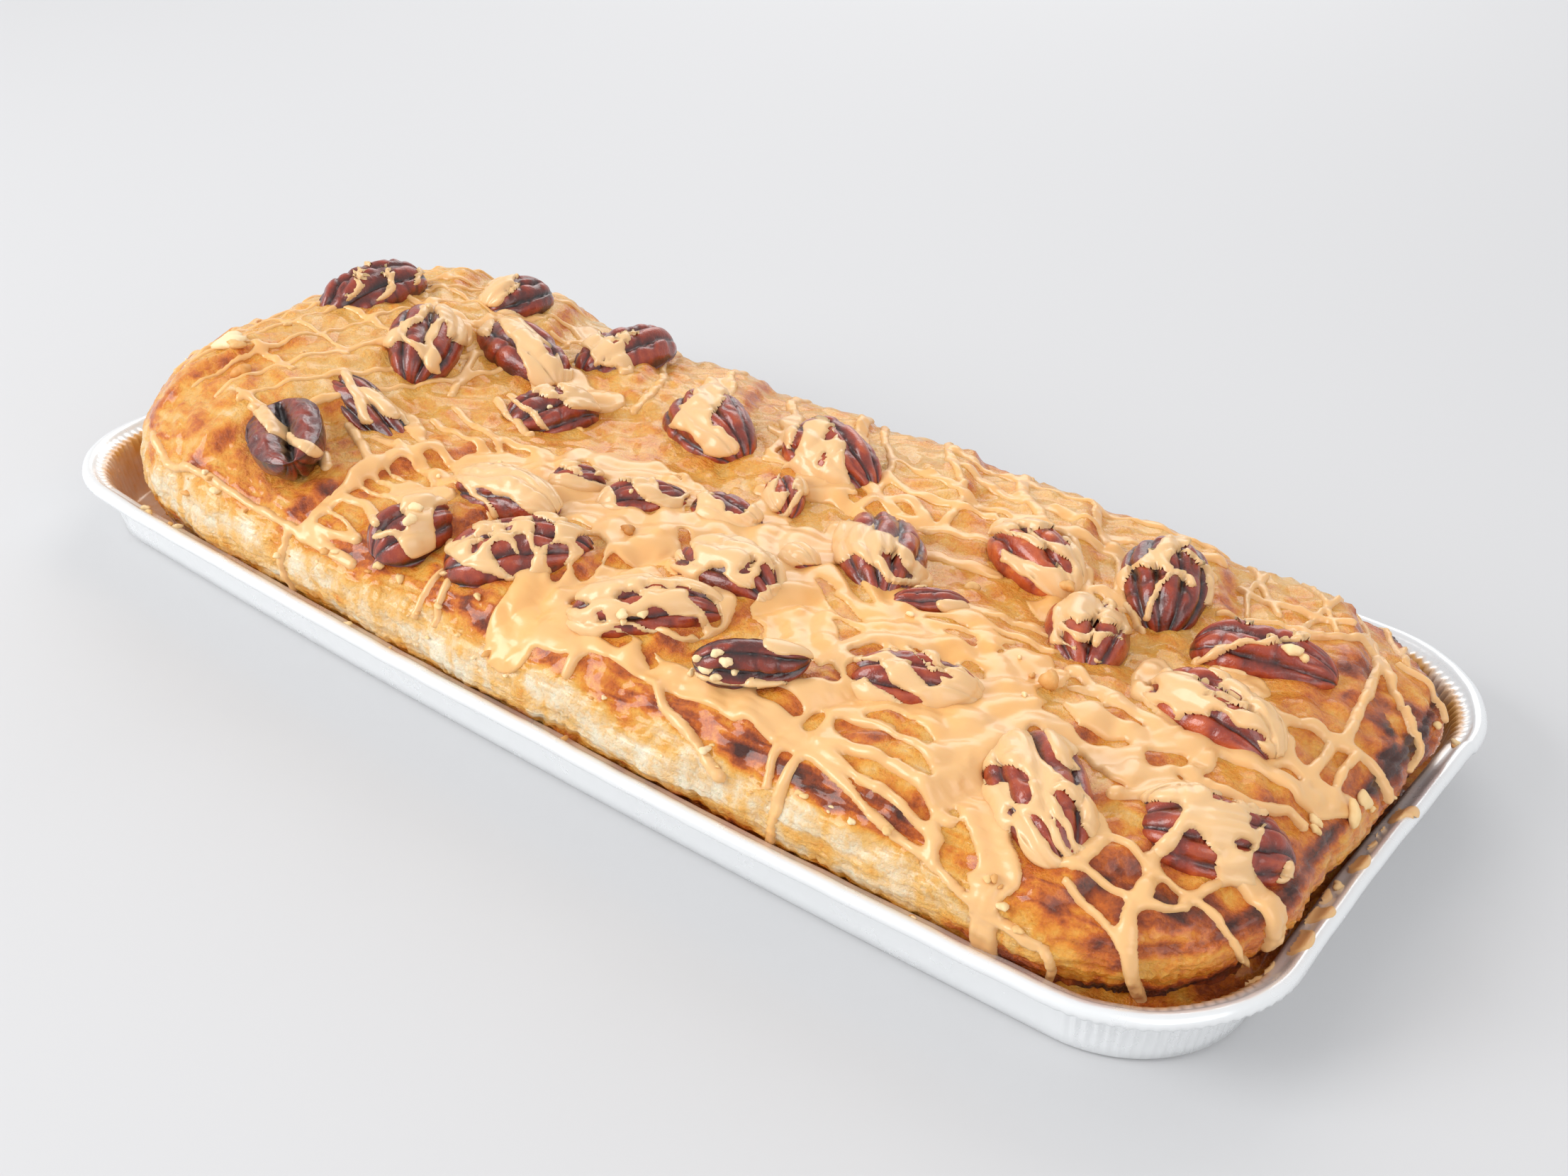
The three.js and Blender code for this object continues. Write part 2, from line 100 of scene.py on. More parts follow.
class Lattice:
    """Smooth value noise over a plan, from one seeded table."""

    def __init__(self, seed):
        self.table = np.random.default_rng(seed).random((256, 256))

    def __call__(self, x, y):
        x = np.asarray(x, float)
        y = np.asarray(y, float)
        cell_x, cell_y = np.floor(x).astype(int), np.floor(y).astype(int)
        share_x, share_y = x - cell_x, y - cell_y
        share_x = share_x * share_x * (3 - 2 * share_x)
        share_y = share_y * share_y * (3 - 2 * share_y)
        low_x, low_y = cell_x & 255, cell_y & 255
        high_x, high_y = (cell_x + 1) & 255, (cell_y + 1) & 255
        table = self.table
        near = table[low_x, low_y] * (1 - share_x) + table[high_x, low_y] * share_x
        far = table[low_x, high_y] * (1 - share_x) + table[high_x, high_y] * share_x
        return near * (1 - share_y) + far * share_y

    def layered(self, x, y, octaves):
        """Several sizes of noise on top of each other, from -1 to 1."""
        total, weight, sum_of_weights = 0.0, 1.0, 0.0
        for octave in range(octaves):
            size = 2.0 ** octave
            total = total + weight * (self(x * size + 17.3 * octave, y * size + 9.1 * octave) * 2 - 1)
            sum_of_weights += weight
            weight *= 0.5
        return total / sum_of_weights


def cells(x, y, seed):
    """Distance to the nearest of one random point in each unit cell, and that cell's own random number."""
    draw = np.random.default_rng(seed)
    points, own = draw.random((128, 128, 2)), draw.random((128, 128))
    cell_x, cell_y = np.floor(x).astype(int), np.floor(y).astype(int)
    first = np.full(np.shape(x), 9.0)
    number = np.zeros(np.shape(x))
    for step_x in (-1, 0, 1):
        for step_y in (-1, 0, 1):
            near_x, near_y = cell_x + step_x, cell_y + step_y
            point = points[near_x & 127, near_y & 127]
            distance = np.hypot(near_x + point[..., 0] - x, near_y + point[..., 1] - y)
            number = np.where(distance < first, own[near_x & 127, near_y & 127], number)
            first = np.minimum(first, distance)
    return first, number


def ramp(start, end, value):
    """Goes smoothly from 0 at start to 1 at end, in either direction."""
    share = np.clip((np.asarray(value, float) - start) / (end - start), 0, 1)
    return share * share * (3 - 2 * share)


def hump(middle, width, value):
    """1 at the middle, falling off to both sides."""
    return np.exp(-(((value - middle) / width) ** 2))


noise_a, noise_b, noise_c = Lattice(11), Lattice(23), Lattice(37)


# The skin of the pastry, as an unrolled plan that carries on down its sides

def bow(x, y):
    """The plan with its long sides bowed out and its short sides pressed in, as the tray is."""
    along, across = x / (TRAY_LENGTH / 2), y / (TRAY_WIDTH / 2)
    stretch_x = 1 + SHORT_SIDE_BOW / (TRAY_LENGTH / 2) * (1 - across * across)
    stretch_y = 1 + LONG_SIDE_BOW / (TRAY_WIDTH / 2) * (1 - along * along)
    return x * stretch_x, y * stretch_y


def pastry_section():
    """Rows of the section beyond the core: distance along the skin, reach, share of the dome, base height."""
    turn = np.linspace(0, math.pi / 2, SHOULDER_STEPS + 1)
    side_inset, side_height = np.array(SIDE_SECTION).T
    shoulder = PASTRY_CORNER_RADIUS * np.sin(turn) ** (2 / SHOULDER_POWER)
    reach = np.append(shoulder, PASTRY_CORNER_RADIUS - side_inset)
    dome = np.append(np.cos(turn[:-1]) ** (2 / SHOULDER_POWER), np.zeros(len(side_inset) + 1))
    base = np.append(np.full(len(turn), WIDEST_HEIGHT), side_height)
    height = base + dome * (CROWN_HEIGHT - WIDEST_HEIGHT)
    steps = np.hypot(np.diff(reach), np.diff(height))
    return np.append(0, np.cumsum(steps)), reach, dome, base


SECTION = pastry_section()
SHOULDER_END = SECTION[0][SHOULDER_STEPS]
SKIRT = SECTION[0][-1]
CORE_X = TRAY_LENGTH / 2 - PASTRY_INSET - PASTRY_CORNER_RADIUS
CORE_Y = TRAY_WIDTH / 2 - PASTRY_INSET - PASTRY_CORNER_RADIUS


def crown(x, y):
    """Height of the top of the loaf."""
    ends = LEFT_END_RISE * ramp(-70, -100, x) - RIGHT_END_DROP * ramp(60, 130, x)
    in_trench = ramp(-75, -45, x) * ramp(130, 105, x)
    trench = TRENCH_DEPTH * hump(2, TRENCH_WIDTH, y) * in_trench
    return CROWN_HEIGHT + ends - trench - FAR_SIDE_DROP * ramp(5, 50, y)


def shrunk_plan(x, y):
    """The plan drawn in where the loaf stands away from the tray."""
    near, far = ramp(15, -60, y), ramp(0, 60, y)
    left_end, right_end = ramp(-85, -150, x), ramp(95, 150, x)
    pull_x = NEAR_LEFT_PULL[0] * left_end * near - RIGHT_END_PULL * right_end * ramp(-62, -25, y)
    far_pull = FAR_SIDE_PULL + FAR_LEFT_PULL * left_end + RIGHT_END_PULL * right_end
    return x + pull_x, y + NEAR_LEFT_PULL[1] * left_end * near - far_pull * far


def fold_shares(a, b):
    """Where a point lies between one fold's edge and the next, and how strong the folds are there."""
    phase = (a + 0.45 * np.abs(b)) / FOLD_PITCH
    share = phase - np.floor(phase)
    strength = ramp(14, 34, np.abs(b)) * ramp(74, 58, np.abs(b))
    return share, strength


def broad_relief(a, b):
    """The folds and crags that the CAD model has too."""
    share, strength = fold_shares(a, b)
    fold = (share ** 0.8 - ramp(0.82, 1, share) - FOLD_MEAN) * strength
    crags = np.sin(a * 0.47 + 1.3 * np.sin(b * 0.31)) * np.sin(b * 0.53 + 1.7 * np.sin(a * 0.23))
    return FOLD_HEIGHT * fold + CRAG_HEIGHT * crags


def nearest_core(a, b):
    """The nearest points of the core, the middle rectangle of the plan that the section goes round."""
    return np.clip(a, -CORE_X, CORE_X), np.clip(b, -CORE_Y, CORE_Y)


def skin_distance(a, b):
    """How far down from the core a plan point lies, measured along the skin."""
    near_x, near_y = nearest_core(a, b)
    return np.hypot(a - near_x, b - near_y)


def skin_point(a, b):
    """Points of the skin for plan points, as an array with x, y and z last."""
    a, b = np.asarray(a, float), np.asarray(b, float)
    near_x, near_y = nearest_core(a, b)
    distance = np.hypot(a - near_x, b - near_y)
    safe = np.where(distance > 0, distance, 1)
    out_x, out_y = (a - near_x) / safe, (b - near_y) / safe
    reach, dome, base = (np.interp(distance, SECTION[0], row) for row in SECTION[1:])
    x, y = near_x + out_x * reach, near_y + out_y * reach
    lean = (1 - dome) ** 2
    raised = broad_relief(a, b) * ramp(SHOULDER_END + 4.2, SHOULDER_END - 5.3, distance)
    z = base + (crown(x, y) - WIDEST_HEIGHT) * dome + raised * (1 - lean)
    x, y = bow(*shrunk_plan(x + out_x * raised * lean, y + out_y * raised * lean))
    return np.stack([x, y, z], -1)


def skin_normal(a, b, step=2.5):
    """Outward directions of the skin, with forms much smaller than the step left out."""
    along_a = skin_point(a + step, b) - skin_point(a - step, b)
    along_b = skin_point(a, b + step) - skin_point(a, b - step)
    normal = np.cross(along_a, along_b)
    return normal / np.linalg.norm(normal, axis=-1, keepdims=True)


def rounded_corners(a, b):
    """Draws the square corners of the plan's grid in to quarter circles."""
    near_x, near_y = nearest_core(a, b)
    over_x, over_y = (a - near_x) / SKIRT, (b - near_y) / SKIRT
    pulled_x = over_x * np.sqrt(1 - over_y * over_y / 2)
    pulled_y = over_y * np.sqrt(1 - over_x * over_x / 2)
    return near_x + pulled_x * SKIRT, near_y + pulled_y * SKIRT


# Making objects

def make_object(name, points, faces, material, smooth=True, values=None):
    """A mesh object from points in millimetres, with named numbers for each point."""
    mesh = bpy.data.meshes.new(name)
    points = np.asarray(points, float) * MM
    faces = np.asarray(faces, np.int32)
    corners = faces.shape[1]
    mesh.vertices.add(len(points))
    mesh.vertices.foreach_set("co", points.astype(np.float32).ravel())
    mesh.loops.add(faces.size)
    mesh.loops.foreach_set("vertex_index", faces.ravel())
    mesh.polygons.add(len(faces))
    mesh.polygons.foreach_set("loop_start", np.arange(0, faces.size, corners, dtype=np.int32))
    mesh.update(calc_edges=True)
    mesh.validate()
    if smooth:
        mesh.polygons.foreach_set("use_smooth", np.ones(len(faces), bool))
    for key, numbers in (values or {}).items():
        attribute = mesh.attributes.new(key, "FLOAT", "POINT")
        attribute.data.foreach_set("value", np.asarray(numbers, np.float32).ravel())
    mesh.materials.append(material)
    piece = bpy.data.objects.new(name, mesh)
    bpy.context.scene.collection.objects.link(piece)
    return piece


def inside_box(points):
    """The points, drawn in where they would stand out of the CAD model's box."""
    low, high = (np.array(corner) / MM for corner in cad_box)
    return np.clip(points, low + (0.02, 0.02, 0), high - 0.02)


def grid_faces(count_a, count_b, wrap_b=False):
    """The quads of a grid of points, closed along its second direction where asked."""
    index = np.arange(count_a * count_b).reshape(count_a, count_b)
    right = np.roll(index, -1, axis=1) if wrap_b else index[:, 1:]
    left = index if wrap_b else index[:, :-1]
    return np.stack([left[:-1], left[1:], right[1:], right[:-1]], -1).reshape(-1, 4)


def renumbered(faces):
    """Which points the faces use, and the faces with only those points counted."""
    used, numbers = np.unique(faces, return_inverse=True)
    return used, numbers.reshape(faces.shape)


def merged(meshes):
    """Several meshes, each given as points and faces, as one."""
    starts = np.cumsum([0] + [len(points) for points, _ in meshes])
    moved = [faces + start for (_, faces), start in zip(meshes, starts)]
    return np.vstack([points for points, _ in meshes]), np.vstack(moved)


def linear(red, green, blue):
    """A colour given in 0 to 255 as it looks in a picture, as the numbers that a shader takes."""
    channels = [red / 255, green / 255, blue / 255]
    return tuple(((c + 0.055) / 1.055) ** 2.4 if c > 0.04045 else c / 12.92 for c in channels) + (1.0,)


class Nodes:
    """A short way to build a node material."""

    def __init__(self, name):
        self.material = bpy.data.materials.new(name)
        self.material.use_nodes = True
        self.tree = self.material.node_tree
        self.shader = self.tree.nodes["Principled BSDF"]

    def add(self, kind, inputs=None, **settings):
        node = self.tree.nodes.new(kind)
        for key, value in settings.items():
            setattr(node, key, value)
        for key, value in (inputs or {}).items():
            self.put(value, node.inputs[key])
        return node

    def put(self, value, socket):
        if isinstance(value, bpy.types.NodeSocket):
            self.tree.links.new(value, socket)
        else:
            socket.default_value = value

    def attribute(self, name):
        return self.add("ShaderNodeAttribute", attribute_name=name).outputs["Fac"]

    def noise(self, scale, detail=4.0, roughness=0.6, stretch=(1.0, 1.0, 1.0)):
        coordinates = self.add("ShaderNodeTexCoord").outputs["Object"]
        place = self.add("ShaderNodeMapping", {"Vector": coordinates, "Scale": stretch}).outputs["Vector"]
        inputs = {"Vector": place, "Scale": scale, "Detail": detail, "Roughness": roughness}
        return self.add("ShaderNodeTexNoise", inputs).outputs["Fac"]

    def math(self, operation, *values, clamp=False):
        node = self.add("ShaderNodeMath", operation=operation, use_clamp=clamp)
        for socket, value in zip(node.inputs, values):
            self.put(value, socket)
        return node.outputs[0]

    def ramp(self, value, *stops):
        """A colour ramp. A stop is its position and then a colour in 0 to 255, or a grey in 0 to 1."""
        node = self.add("ShaderNodeValToRGB", {"Fac": value})
        elements = node.color_ramp.elements
        shades = [(place, linear(*shade) if len(shade) == 3 else (*shade * 3, 1.0)) for place, *shade in stops]
        elements[0].position, elements[0].color = shades[0]
        elements[1].position, elements[1].color = shades[-1]
        for position, colour in shades[1:-1]:
            elements.new(position).color = colour
        return node.outputs["Color"]

    def mix(self, share, one, other):
        inputs = {"Factor": share, "A": one, "B": other}
        return self.add("ShaderNodeMix", inputs, data_type="RGBA").outputs["Result"]

    def bump(self, height, distance, strength):
        inputs = {"Height": height, "Distance": distance, "Strength": strength}
        return self.add("ShaderNodeBump", inputs).outputs["Normal"]

    def finish(self, **inputs):
        for key, value in inputs.items():
            self.put(value, self.shader.inputs[key.replace("_", " ")])
        return self.material


# Materials

def crust_material():
    nodes = Nodes("baked_crust")
    bake = nodes.attribute("bake")
    speckle = nodes.noise(1100.0, 5.0, 0.65)
    patch = nodes.noise(190.0)
    speckled = nodes.math("ADD", bake, nodes.math("MULTIPLY_ADD", speckle, 0.34, -0.17))
    level = nodes.math("ADD", speckled, nodes.math("MULTIPLY_ADD", patch, 0.60, -0.30), clamp=True)
    colour = nodes.ramp(
        level,
        (0.0, 255, 239, 208), (0.14, 255, 215, 160), (0.26, 253, 196, 110), (0.38, 250, 179, 72),
        (0.50, 243, 152, 42), (0.63, 218, 110, 22), (0.78, 160, 66, 14), (1.0, 74, 28, 12),
    )
    rough = nodes.ramp(bake, (0.0, 0.85), (0.22, 0.6), (0.4, 0.26), (1.0, 0.2))
    return nodes.finish(
        Base_Color=colour, Roughness=rough,
        Normal=nodes.bump(nodes.math("MULTIPLY_ADD", speckle, 0.8, patch), 0.0018, 0.9),
        Subsurface_Weight=0.15, Subsurface_Radius=(0.006, 0.003, 0.0012), Subsurface_Scale=0.5,
        Coat_Weight=0.5, Coat_Roughness=0.08,
    )


def icing_material():
    nodes = Nodes("maple_icing")
    thick_colour = nodes.mix(nodes.noise(60.0, 3.0, 0.5), linear(227, 176, 115), linear(235, 188, 128))
    clear_colour = nodes.mix(nodes.noise(240.0), linear(235, 162, 77), linear(246, 193, 116))
    colour = nodes.mix(nodes.attribute("clear"), thick_colour, clear_colour)
    nut_share = nodes.math("MULTIPLY", nodes.attribute("over_nut"), 0.5)
    return nodes.finish(
        Base_Color=nodes.mix(nut_share, colour, linear(228, 192, 144)), Roughness=0.36,
        Normal=nodes.bump(nodes.noise(260.0, 2.0, 0.5), 0.0003, 0.25),
        Subsurface_Weight=0.2, Subsurface_Radius=(0.004, 0.0025, 0.0012), Subsurface_Scale=0.5,
        Coat_Weight=0.3, Coat_Roughness=0.1,
    )


def nut_material():
    nodes = Nodes("glazed_pecan")
    grain = nodes.noise(420.0, 5.0)
    spots = nodes.noise(1500.0, 3.0)
    level = nodes.math("MULTIPLY_ADD", grain, 0.6, nodes.attribute("tone"))
    # Painted shade: the nut is darkened in the grooves between its lobes and in the cleft of its flat side.
    groove_shade = nodes.math("MULTIPLY", nodes.attribute("groove"), 0.62)
    colour = nodes.ramp(
        nodes.math("SUBTRACT", level, groove_shade, clamp=True),
        (0.0, 30, 10, 8), (0.3, 92, 28, 16), (0.55, 148, 50, 24), (0.8, 190, 86, 40), (1.0, 234, 144, 64),
    )
    return nodes.finish(
        Base_Color=colour, Roughness=0.28, Coat_Weight=0.5, Coat_Roughness=0.1,
        Normal=nodes.bump(nodes.math("MULTIPLY_ADD", spots, 0.5, grain), 0.0006, 0.5),
        Subsurface_Weight=0.05, Subsurface_Radius=(0.002, 0.0008, 0.0004), Subsurface_Scale=0.5,
    )


def foil_material():
    nodes = Nodes("pressed_foil")
    wrinkles = nodes.noise(120.0, 4.0, 0.55)
    fine = nodes.noise(900.0, 2.0, 0.5, stretch=(1.0, 1.0, 0.2))
    spread = nodes.math("MULTIPLY_ADD", nodes.noise(70.0), 2.4, -0.35)
    stained = nodes.math("MULTIPLY", nodes.attribute("stain"), spread, clamp=True)
    return nodes.finish(
        Base_Color=nodes.mix(stained, linear(240, 242, 243), linear(214, 156, 84)),
        Metallic=nodes.math("SUBTRACT", 0.4, nodes.math("MULTIPLY", stained, 0.35)),
        Roughness=nodes.math("MULTIPLY_ADD", wrinkles, 0.16, 0.18),
        Normal=nodes.bump(nodes.math("MULTIPLY_ADD", fine, 0.12, wrinkles), 0.0005, 0.3),
    )


def crumb_material():
    nodes = Nodes("pastry_crumb")
    shift = nodes.math("MULTIPLY_ADD", nodes.noise(900.0), 0.3, -0.15)
    colour = nodes.ramp(
        nodes.math("ADD", nodes.attribute("tone"), shift, clamp=True),
        (0.0, 246, 222, 176), (0.4, 236, 198, 136), (0.7, 214, 148, 72), (1.0, 128, 64, 28),
    )
    return nodes.finish(Base_Color=colour, Roughness=0.55, Normal=nodes.bump(nodes.noise(1200.0), 0.0003, 0.4))


def floor_material():
    nodes = Nodes("pale_floor")
    return nodes.finish(Base_Color=linear(205, 205, 206), Roughness=0.7, Specular_IOR_Level=0.3)


# The pastry

# Where along its near lip the crust is dark and glossy: middle, half width, strength
DARK_LIPS = [
    (-128, 6, 0.12), (-44, 4, 0.22), (-9, 8, 0.2), (34, 9, 0.2), (60, 9, 0.24), (77, 7, 0.26), (98, 5, 0.12),
]


def blisters(a, b, size=5.5, seed=5):
    """Small bubbles that rose in the crust."""
    first, number = cells(a / size, b / size, seed)
    reach = 0.25 + 0.25 * number
    return np.clip(1 - (first / reach) ** 2, 0, 1)


def flakes(a, b):
    """Thin ridges of flaky crust that run along the loaf, from 0 to 1."""
    along, across = a + 0.3 * b, b - 0.12 * a
    return (1 - np.abs(noise_c.layered(along / 11, across / 1.7, 3))) ** 3


def side_share(distance):
    """1 on the pale side of the loaf, 0 on its browned top."""
    return ramp(SHOULDER_END - 8.5, SHOULDER_END - 5.5, distance)


def lip_wander(a, b):
    """How far the edge between the browned top and the pale side wanders up and down."""
    return 2.6 * noise_a.layered(a / 19, b / 19, 3) + 0.8 * noise_b.layered(a / 3.1, b / 3.1, 2)


def charring(a, b):
    """How badly burnt the bubbly patches at the right end are."""
    patches = hump(150, 7, a) * hump(14, 10, b) + 0.9 * hump(135, 4, a) * hump(22, 12, b)
    patches += 0.8 * hump(148, 5, a) * hump(30, 7, b) + 0.5 * hump(138, 5, a) * hump(-54, 5, b)
    return patches * ramp(0.3, 0.6, noise_b(a / 4.5, b / 4.5))


def fine_relief(a, b):
    """How far the small forms of the crust stand out from the skin."""
    distance = skin_distance(a, b)
    side = side_share(distance + lip_wander(a, b))
    burnt = charring(a, b)
    top = (
        1.0 * noise_a.layered(a / 15, b / 15, 3)
        + 0.5 * blisters(a, b) * (noise_b(a / 13, b / 13) > 0.5)
        + 0.30 * noise_b.layered(a / 3.6, b / 3.6, 3)
        + 0.35 * flakes(a, b) * ramp(-30, -48, b)
        + 0.7 * burnt * (blisters(a, b, 2.0, 8) - 0.3)
    )
    along = np.where(np.abs(b) - CORE_Y > np.abs(a) - CORE_X, a, b)
    slant = 0.9 * noise_c.layered(along / 26, distance * 0 + 3, 2)
    strand = along + slant * (distance - SHOULDER_END)
    layers = 1 - np.abs(noise_c.layered(strand / 9 + 0.5 * noise_a(a / 5, b / 5), distance / 1.15, 3))
    strands = 1 - np.abs(noise_b.layered(strand / 1.9, distance / 7.5, 3))
    wall = 0.9 * layers + 1.1 * strands - 1.2 + 0.9 * noise_a.layered(along / 11, distance / 9, 2)
    return top * (1 - side) + wall * side


def lip_darkness(a, b):
    """How dark the crust's edge is there."""
    broken = 0.55 + 0.9 * noise_b(a / 2.6, b / 2.0)
    wanted = 0.14 * noise_c(a / 12, b / 12)
    for middle, reach, strength in DARK_LIPS:
        wanted = wanted + strength * hump(middle, reach, a) * (b < 0) * broken
    hidden_side = (b > 0) | (np.abs(a) - CORE_X > np.abs(b) - CORE_Y)
    return wanted + hidden_side * 0.2 * ramp(0.45, 0.8, noise_b(a / 14 + 5, b / 14))


def bake_level(a, b):
    """How brown the crust is: 0 pale, 1 charred. Towards the foot, near the tray's rim, it holds painted shade
    as well.
    """
    distance = skin_distance(a, b)
    near_edge = distance + lip_wander(a, b)
    side = side_share(near_edge)
    share, strength = fold_shares(a, b)
    top = 0.42 + 0.10 * noise_a.layered(a / 22, b / 22, 3) + 0.10 * noise_b.layered(a / 5, b / 5, 3)
    top += 0.22 * strength * hump(0.9, 0.06, share)
    top += lip_darkness(a, b) * hump(SHOULDER_END - 9.2, 2.4, near_edge)
    top += 0.12 * ramp(112, 140, a) + 0.45 * charring(a, b) + 0.05 * blisters(a, b)
    mottling = 0.22 * noise_c.layered(a / 9, b / 9, 2) + 0.14 * noise_b.layered(a / 2.6, b / 2.6, 3)
    top += (0.02 + mottling) * ramp(30, 90, a) * ramp(-10, -40, b)
    top += 0.28 * (flakes(a, b) - 0.35) * ramp(-30, -48, b)
    top -= 0.09 * ramp(-55, -95, a) + 0.06 * ramp(10, 30, b)
    strands = np.clip(noise_c.layered(a / 1.9, distance / 7.5, 3), 0, 1)
    wall = 0.06 + 0.30 * strands + 0.24 * ramp(0.45, 0.85, noise_b(a / 9, distance / 4))
    wall += 0.34 * ramp(SHOULDER_END - 1.5, SHOULDER_END - 7.5, near_edge) * noise_a(a / 5, b / 5)
    wall += 0.20 * ramp(88, 118, a) + 0.26 * ramp(118, 145, a) * (0.6 + 0.6 * noise_a(a / 7, b / 7))
    # Browner towards the foot, from about the height of the tray's rim down: partly the loaf's browned bottom,
    # partly painted shade of the gap under the rim.
    wall += 0.34 * ramp(SHOULDER_END + 3.5, SHOULDER_END + 7, near_edge)
    wall += 0.25 * (b > 0) * noise_b(a / 17, b / 9)
    return top * (1 - side) + wall * side


def loaf_lines(core):
    """Grid lines across the plan: coarser over the core, finer down the sides."""
    core_step, side_step = 1.1, 0.4
    fine_from, fine_to = SHOULDER_END - 13, SHOULDER_END + 10
    core_lines = np.linspace(-core, core, int(2 * core / core_step))
    shoulder, side = np.arange(core_step, fine_from, core_step), np.arange(fine_from, fine_to, side_step)
    outer = np.concatenate([shoulder, side, [fine_to + 3, SKIRT]])
    return np.concatenate([-core - outer[::-1], core_lines, core + outer])


def make_pastry(material):
    """The loaf: a grid over the whole plan, laid on the skin and raised by the fine relief."""
    a, b = rounded_corners(*np.meshgrid(loaf_lines(CORE_X), loaf_lines(CORE_Y), indexing="ij"))
    fade = ramp(SHOULDER_END + 12, SHOULDER_END + 8, skin_distance(a, b))
    points = skin_point(a, b) + skin_normal(a, b, 1.2) * (fine_relief(a, b) * fade)[..., None]
    flat = inside_box(points.reshape(-1, 3))
    return make_object("danish_pastry", flat, grid_faces(*a.shape), material, values={"bake": bake_level(a, b)})


# The nuts

def nut_place(nut):
    """The matrix that puts a nut on the skin, with the same rule as the CAD model."""
    a, b, heading, length, width, lean, _ = nut
    up = Vector(skin_normal(a, b))
    turn = math.radians(heading)
    along = Vector((math.cos(turn), math.sin(turn), 0))
    along = (along - up * along.dot(up)).normalized()
    across = up.cross(along)
    height = NUT_HEIGHT_SHARE * width
    on_side = abs(math.sin(math.radians(lean)))
    upside_down = abs(math.sin(math.radians(lean) / 2))
    raised = upside_down ** 2 * height * (1 - on_side) + on_side ** 2 * width / 2
    place = Matrix((along, across, up)).transposed().to_4x4() @ Matrix.Rotation(math.radians(lean), 4, "X")
    place.translation = Vector(skin_point(a, b)) + up * (raised - NUT_SINK_SHARE * height)
    return np.array(place)


def nut_shape(length, width, seed):
    """Half a pecan: puffy lengthwise lobes with deep grooves between them, and a lobed flat side."""
    draw = np.random.default_rng(seed)
    height = NUT_HEIGHT_SHARE * width
    turn = np.linspace(-math.pi / 2, 1.5 * math.pi, NUT_AROUND, endpoint=False)
    along = -np.cos(np.linspace(0, math.pi, NUT_ROWS))
    t, theta = np.meshgrid(along, turn, indexing="ij")
    shift = draw.random(6) * 40
    lobes = 4 if width < 17 else int(draw.choice([4, 5]))
    upper = np.clip(np.sin(theta), 0, 1)
    sway = 0.13 * np.sin(2.4 * t + shift[0])
    sway = sway + 0.22 * (noise_a(t * 2.1 + shift[1], theta * 0.9 + shift[2]) - 0.5)
    place = (theta + sway * upper ** 0.5) / math.pi * lobes
    lobe = np.floor(place)
    across = 2 * (place - lobe) - 1
    puff = np.sqrt(np.clip(1 - across ** 2, 0, 1))
    groove = 1 - puff
    middle = hump(lobes / 2, 0.6, place) if lobes % 2 == 0 else 0
    wrinkle = noise_b(t * (length / 7.0) + 9.7 * lobe + shift[3], lobe * 3.3 + across * 0.8)
    dent = hump(0.0, 0.13, wrinkle - 0.45)
    end = t * (1 + 0.05 * noise_c(lobe * 2.7 + shift[4], t * 0 + 1.5))
    wide = np.clip(1 - np.abs(t) ** 2.3, 0, 1) ** 0.5 * (1 - 0.14 * t)
    tall = np.clip(1 - np.abs(end).clip(0, 1) ** 2.8, 0, 1) ** 0.5
    swell = 1 - (0.30 + 0.14 * middle) * groove ** 1.2 - 0.08 * dent * puff + 0.06 * (wrinkle - 0.5)
    y = np.cos(theta) * wide * width / 2 * (1 - 0.10 * groove - 0.03 * dent)
    lower = np.clip(-np.sin(theta), 0, 1)
    z_above = upper ** 0.8 * tall * height * swell
    half_side = np.cos(theta)
    cheeks = 0.5 + 0.5 * np.cos(2 * math.pi * (np.abs(half_side) - 0.55) / 0.9)
    cleft = hump(0, 0.13, half_side)
    uneven = 0.11 * noise_c.layered(t * 6 + shift[5], half_side * 4, 3)
    z_below = height * lower ** 0.5 * tall * (0.02 - 0.18 * cheeks + 0.30 * cleft + uneven)
    z = np.where(np.sin(theta) >= 0, z_above, z_below)
    x = t * length / 2
    points = np.stack([x, y, z], -1).reshape(-1, 3)
    # Where the nut gets painted shade: in the grooves between its lobes and in the cleft of its flat side.
    depth = np.where(np.sin(theta) >= 0, groove ** 1.2 + 0.35 * dent, 1.2 * cleft + 0.3 * (1 - cheeks))
    return points, grid_faces(NUT_ROWS, NUT_AROUND, wrap_b=True)[:, ::-1], {"groove": depth}


def nut_pieces():
    """Points, faces and numbers of every nut where it lies."""
    pieces = []
    for index, nut in enumerate(NUTS):
        _, _, _, length, width, _, tone = nut
        points, faces, values = nut_shape(length, width, FIRST_NUT_SEED + index)
        place = nut_place(nut)
        points = inside_box(points @ place[:3, :3].T + place[:3, 3])
        values["tone"] = np.full(len(points), tone)
        pieces.append((points, faces, values))
    return pieces


# The icing

GRID = 0.5  # step of the plan that the icing is made on
MELT = 1.3  # how near two edges come before they run together
FAR_OFF = 9.0  # distance from the icing where no stroke comes near
FILM_HEIGHT, FILM_CLEAR = 0.35, 0.75  # of the thin film between the strokes
PATH_BATCH = 8  # places of a stroke that are measured at once
RUN_SEED = 41

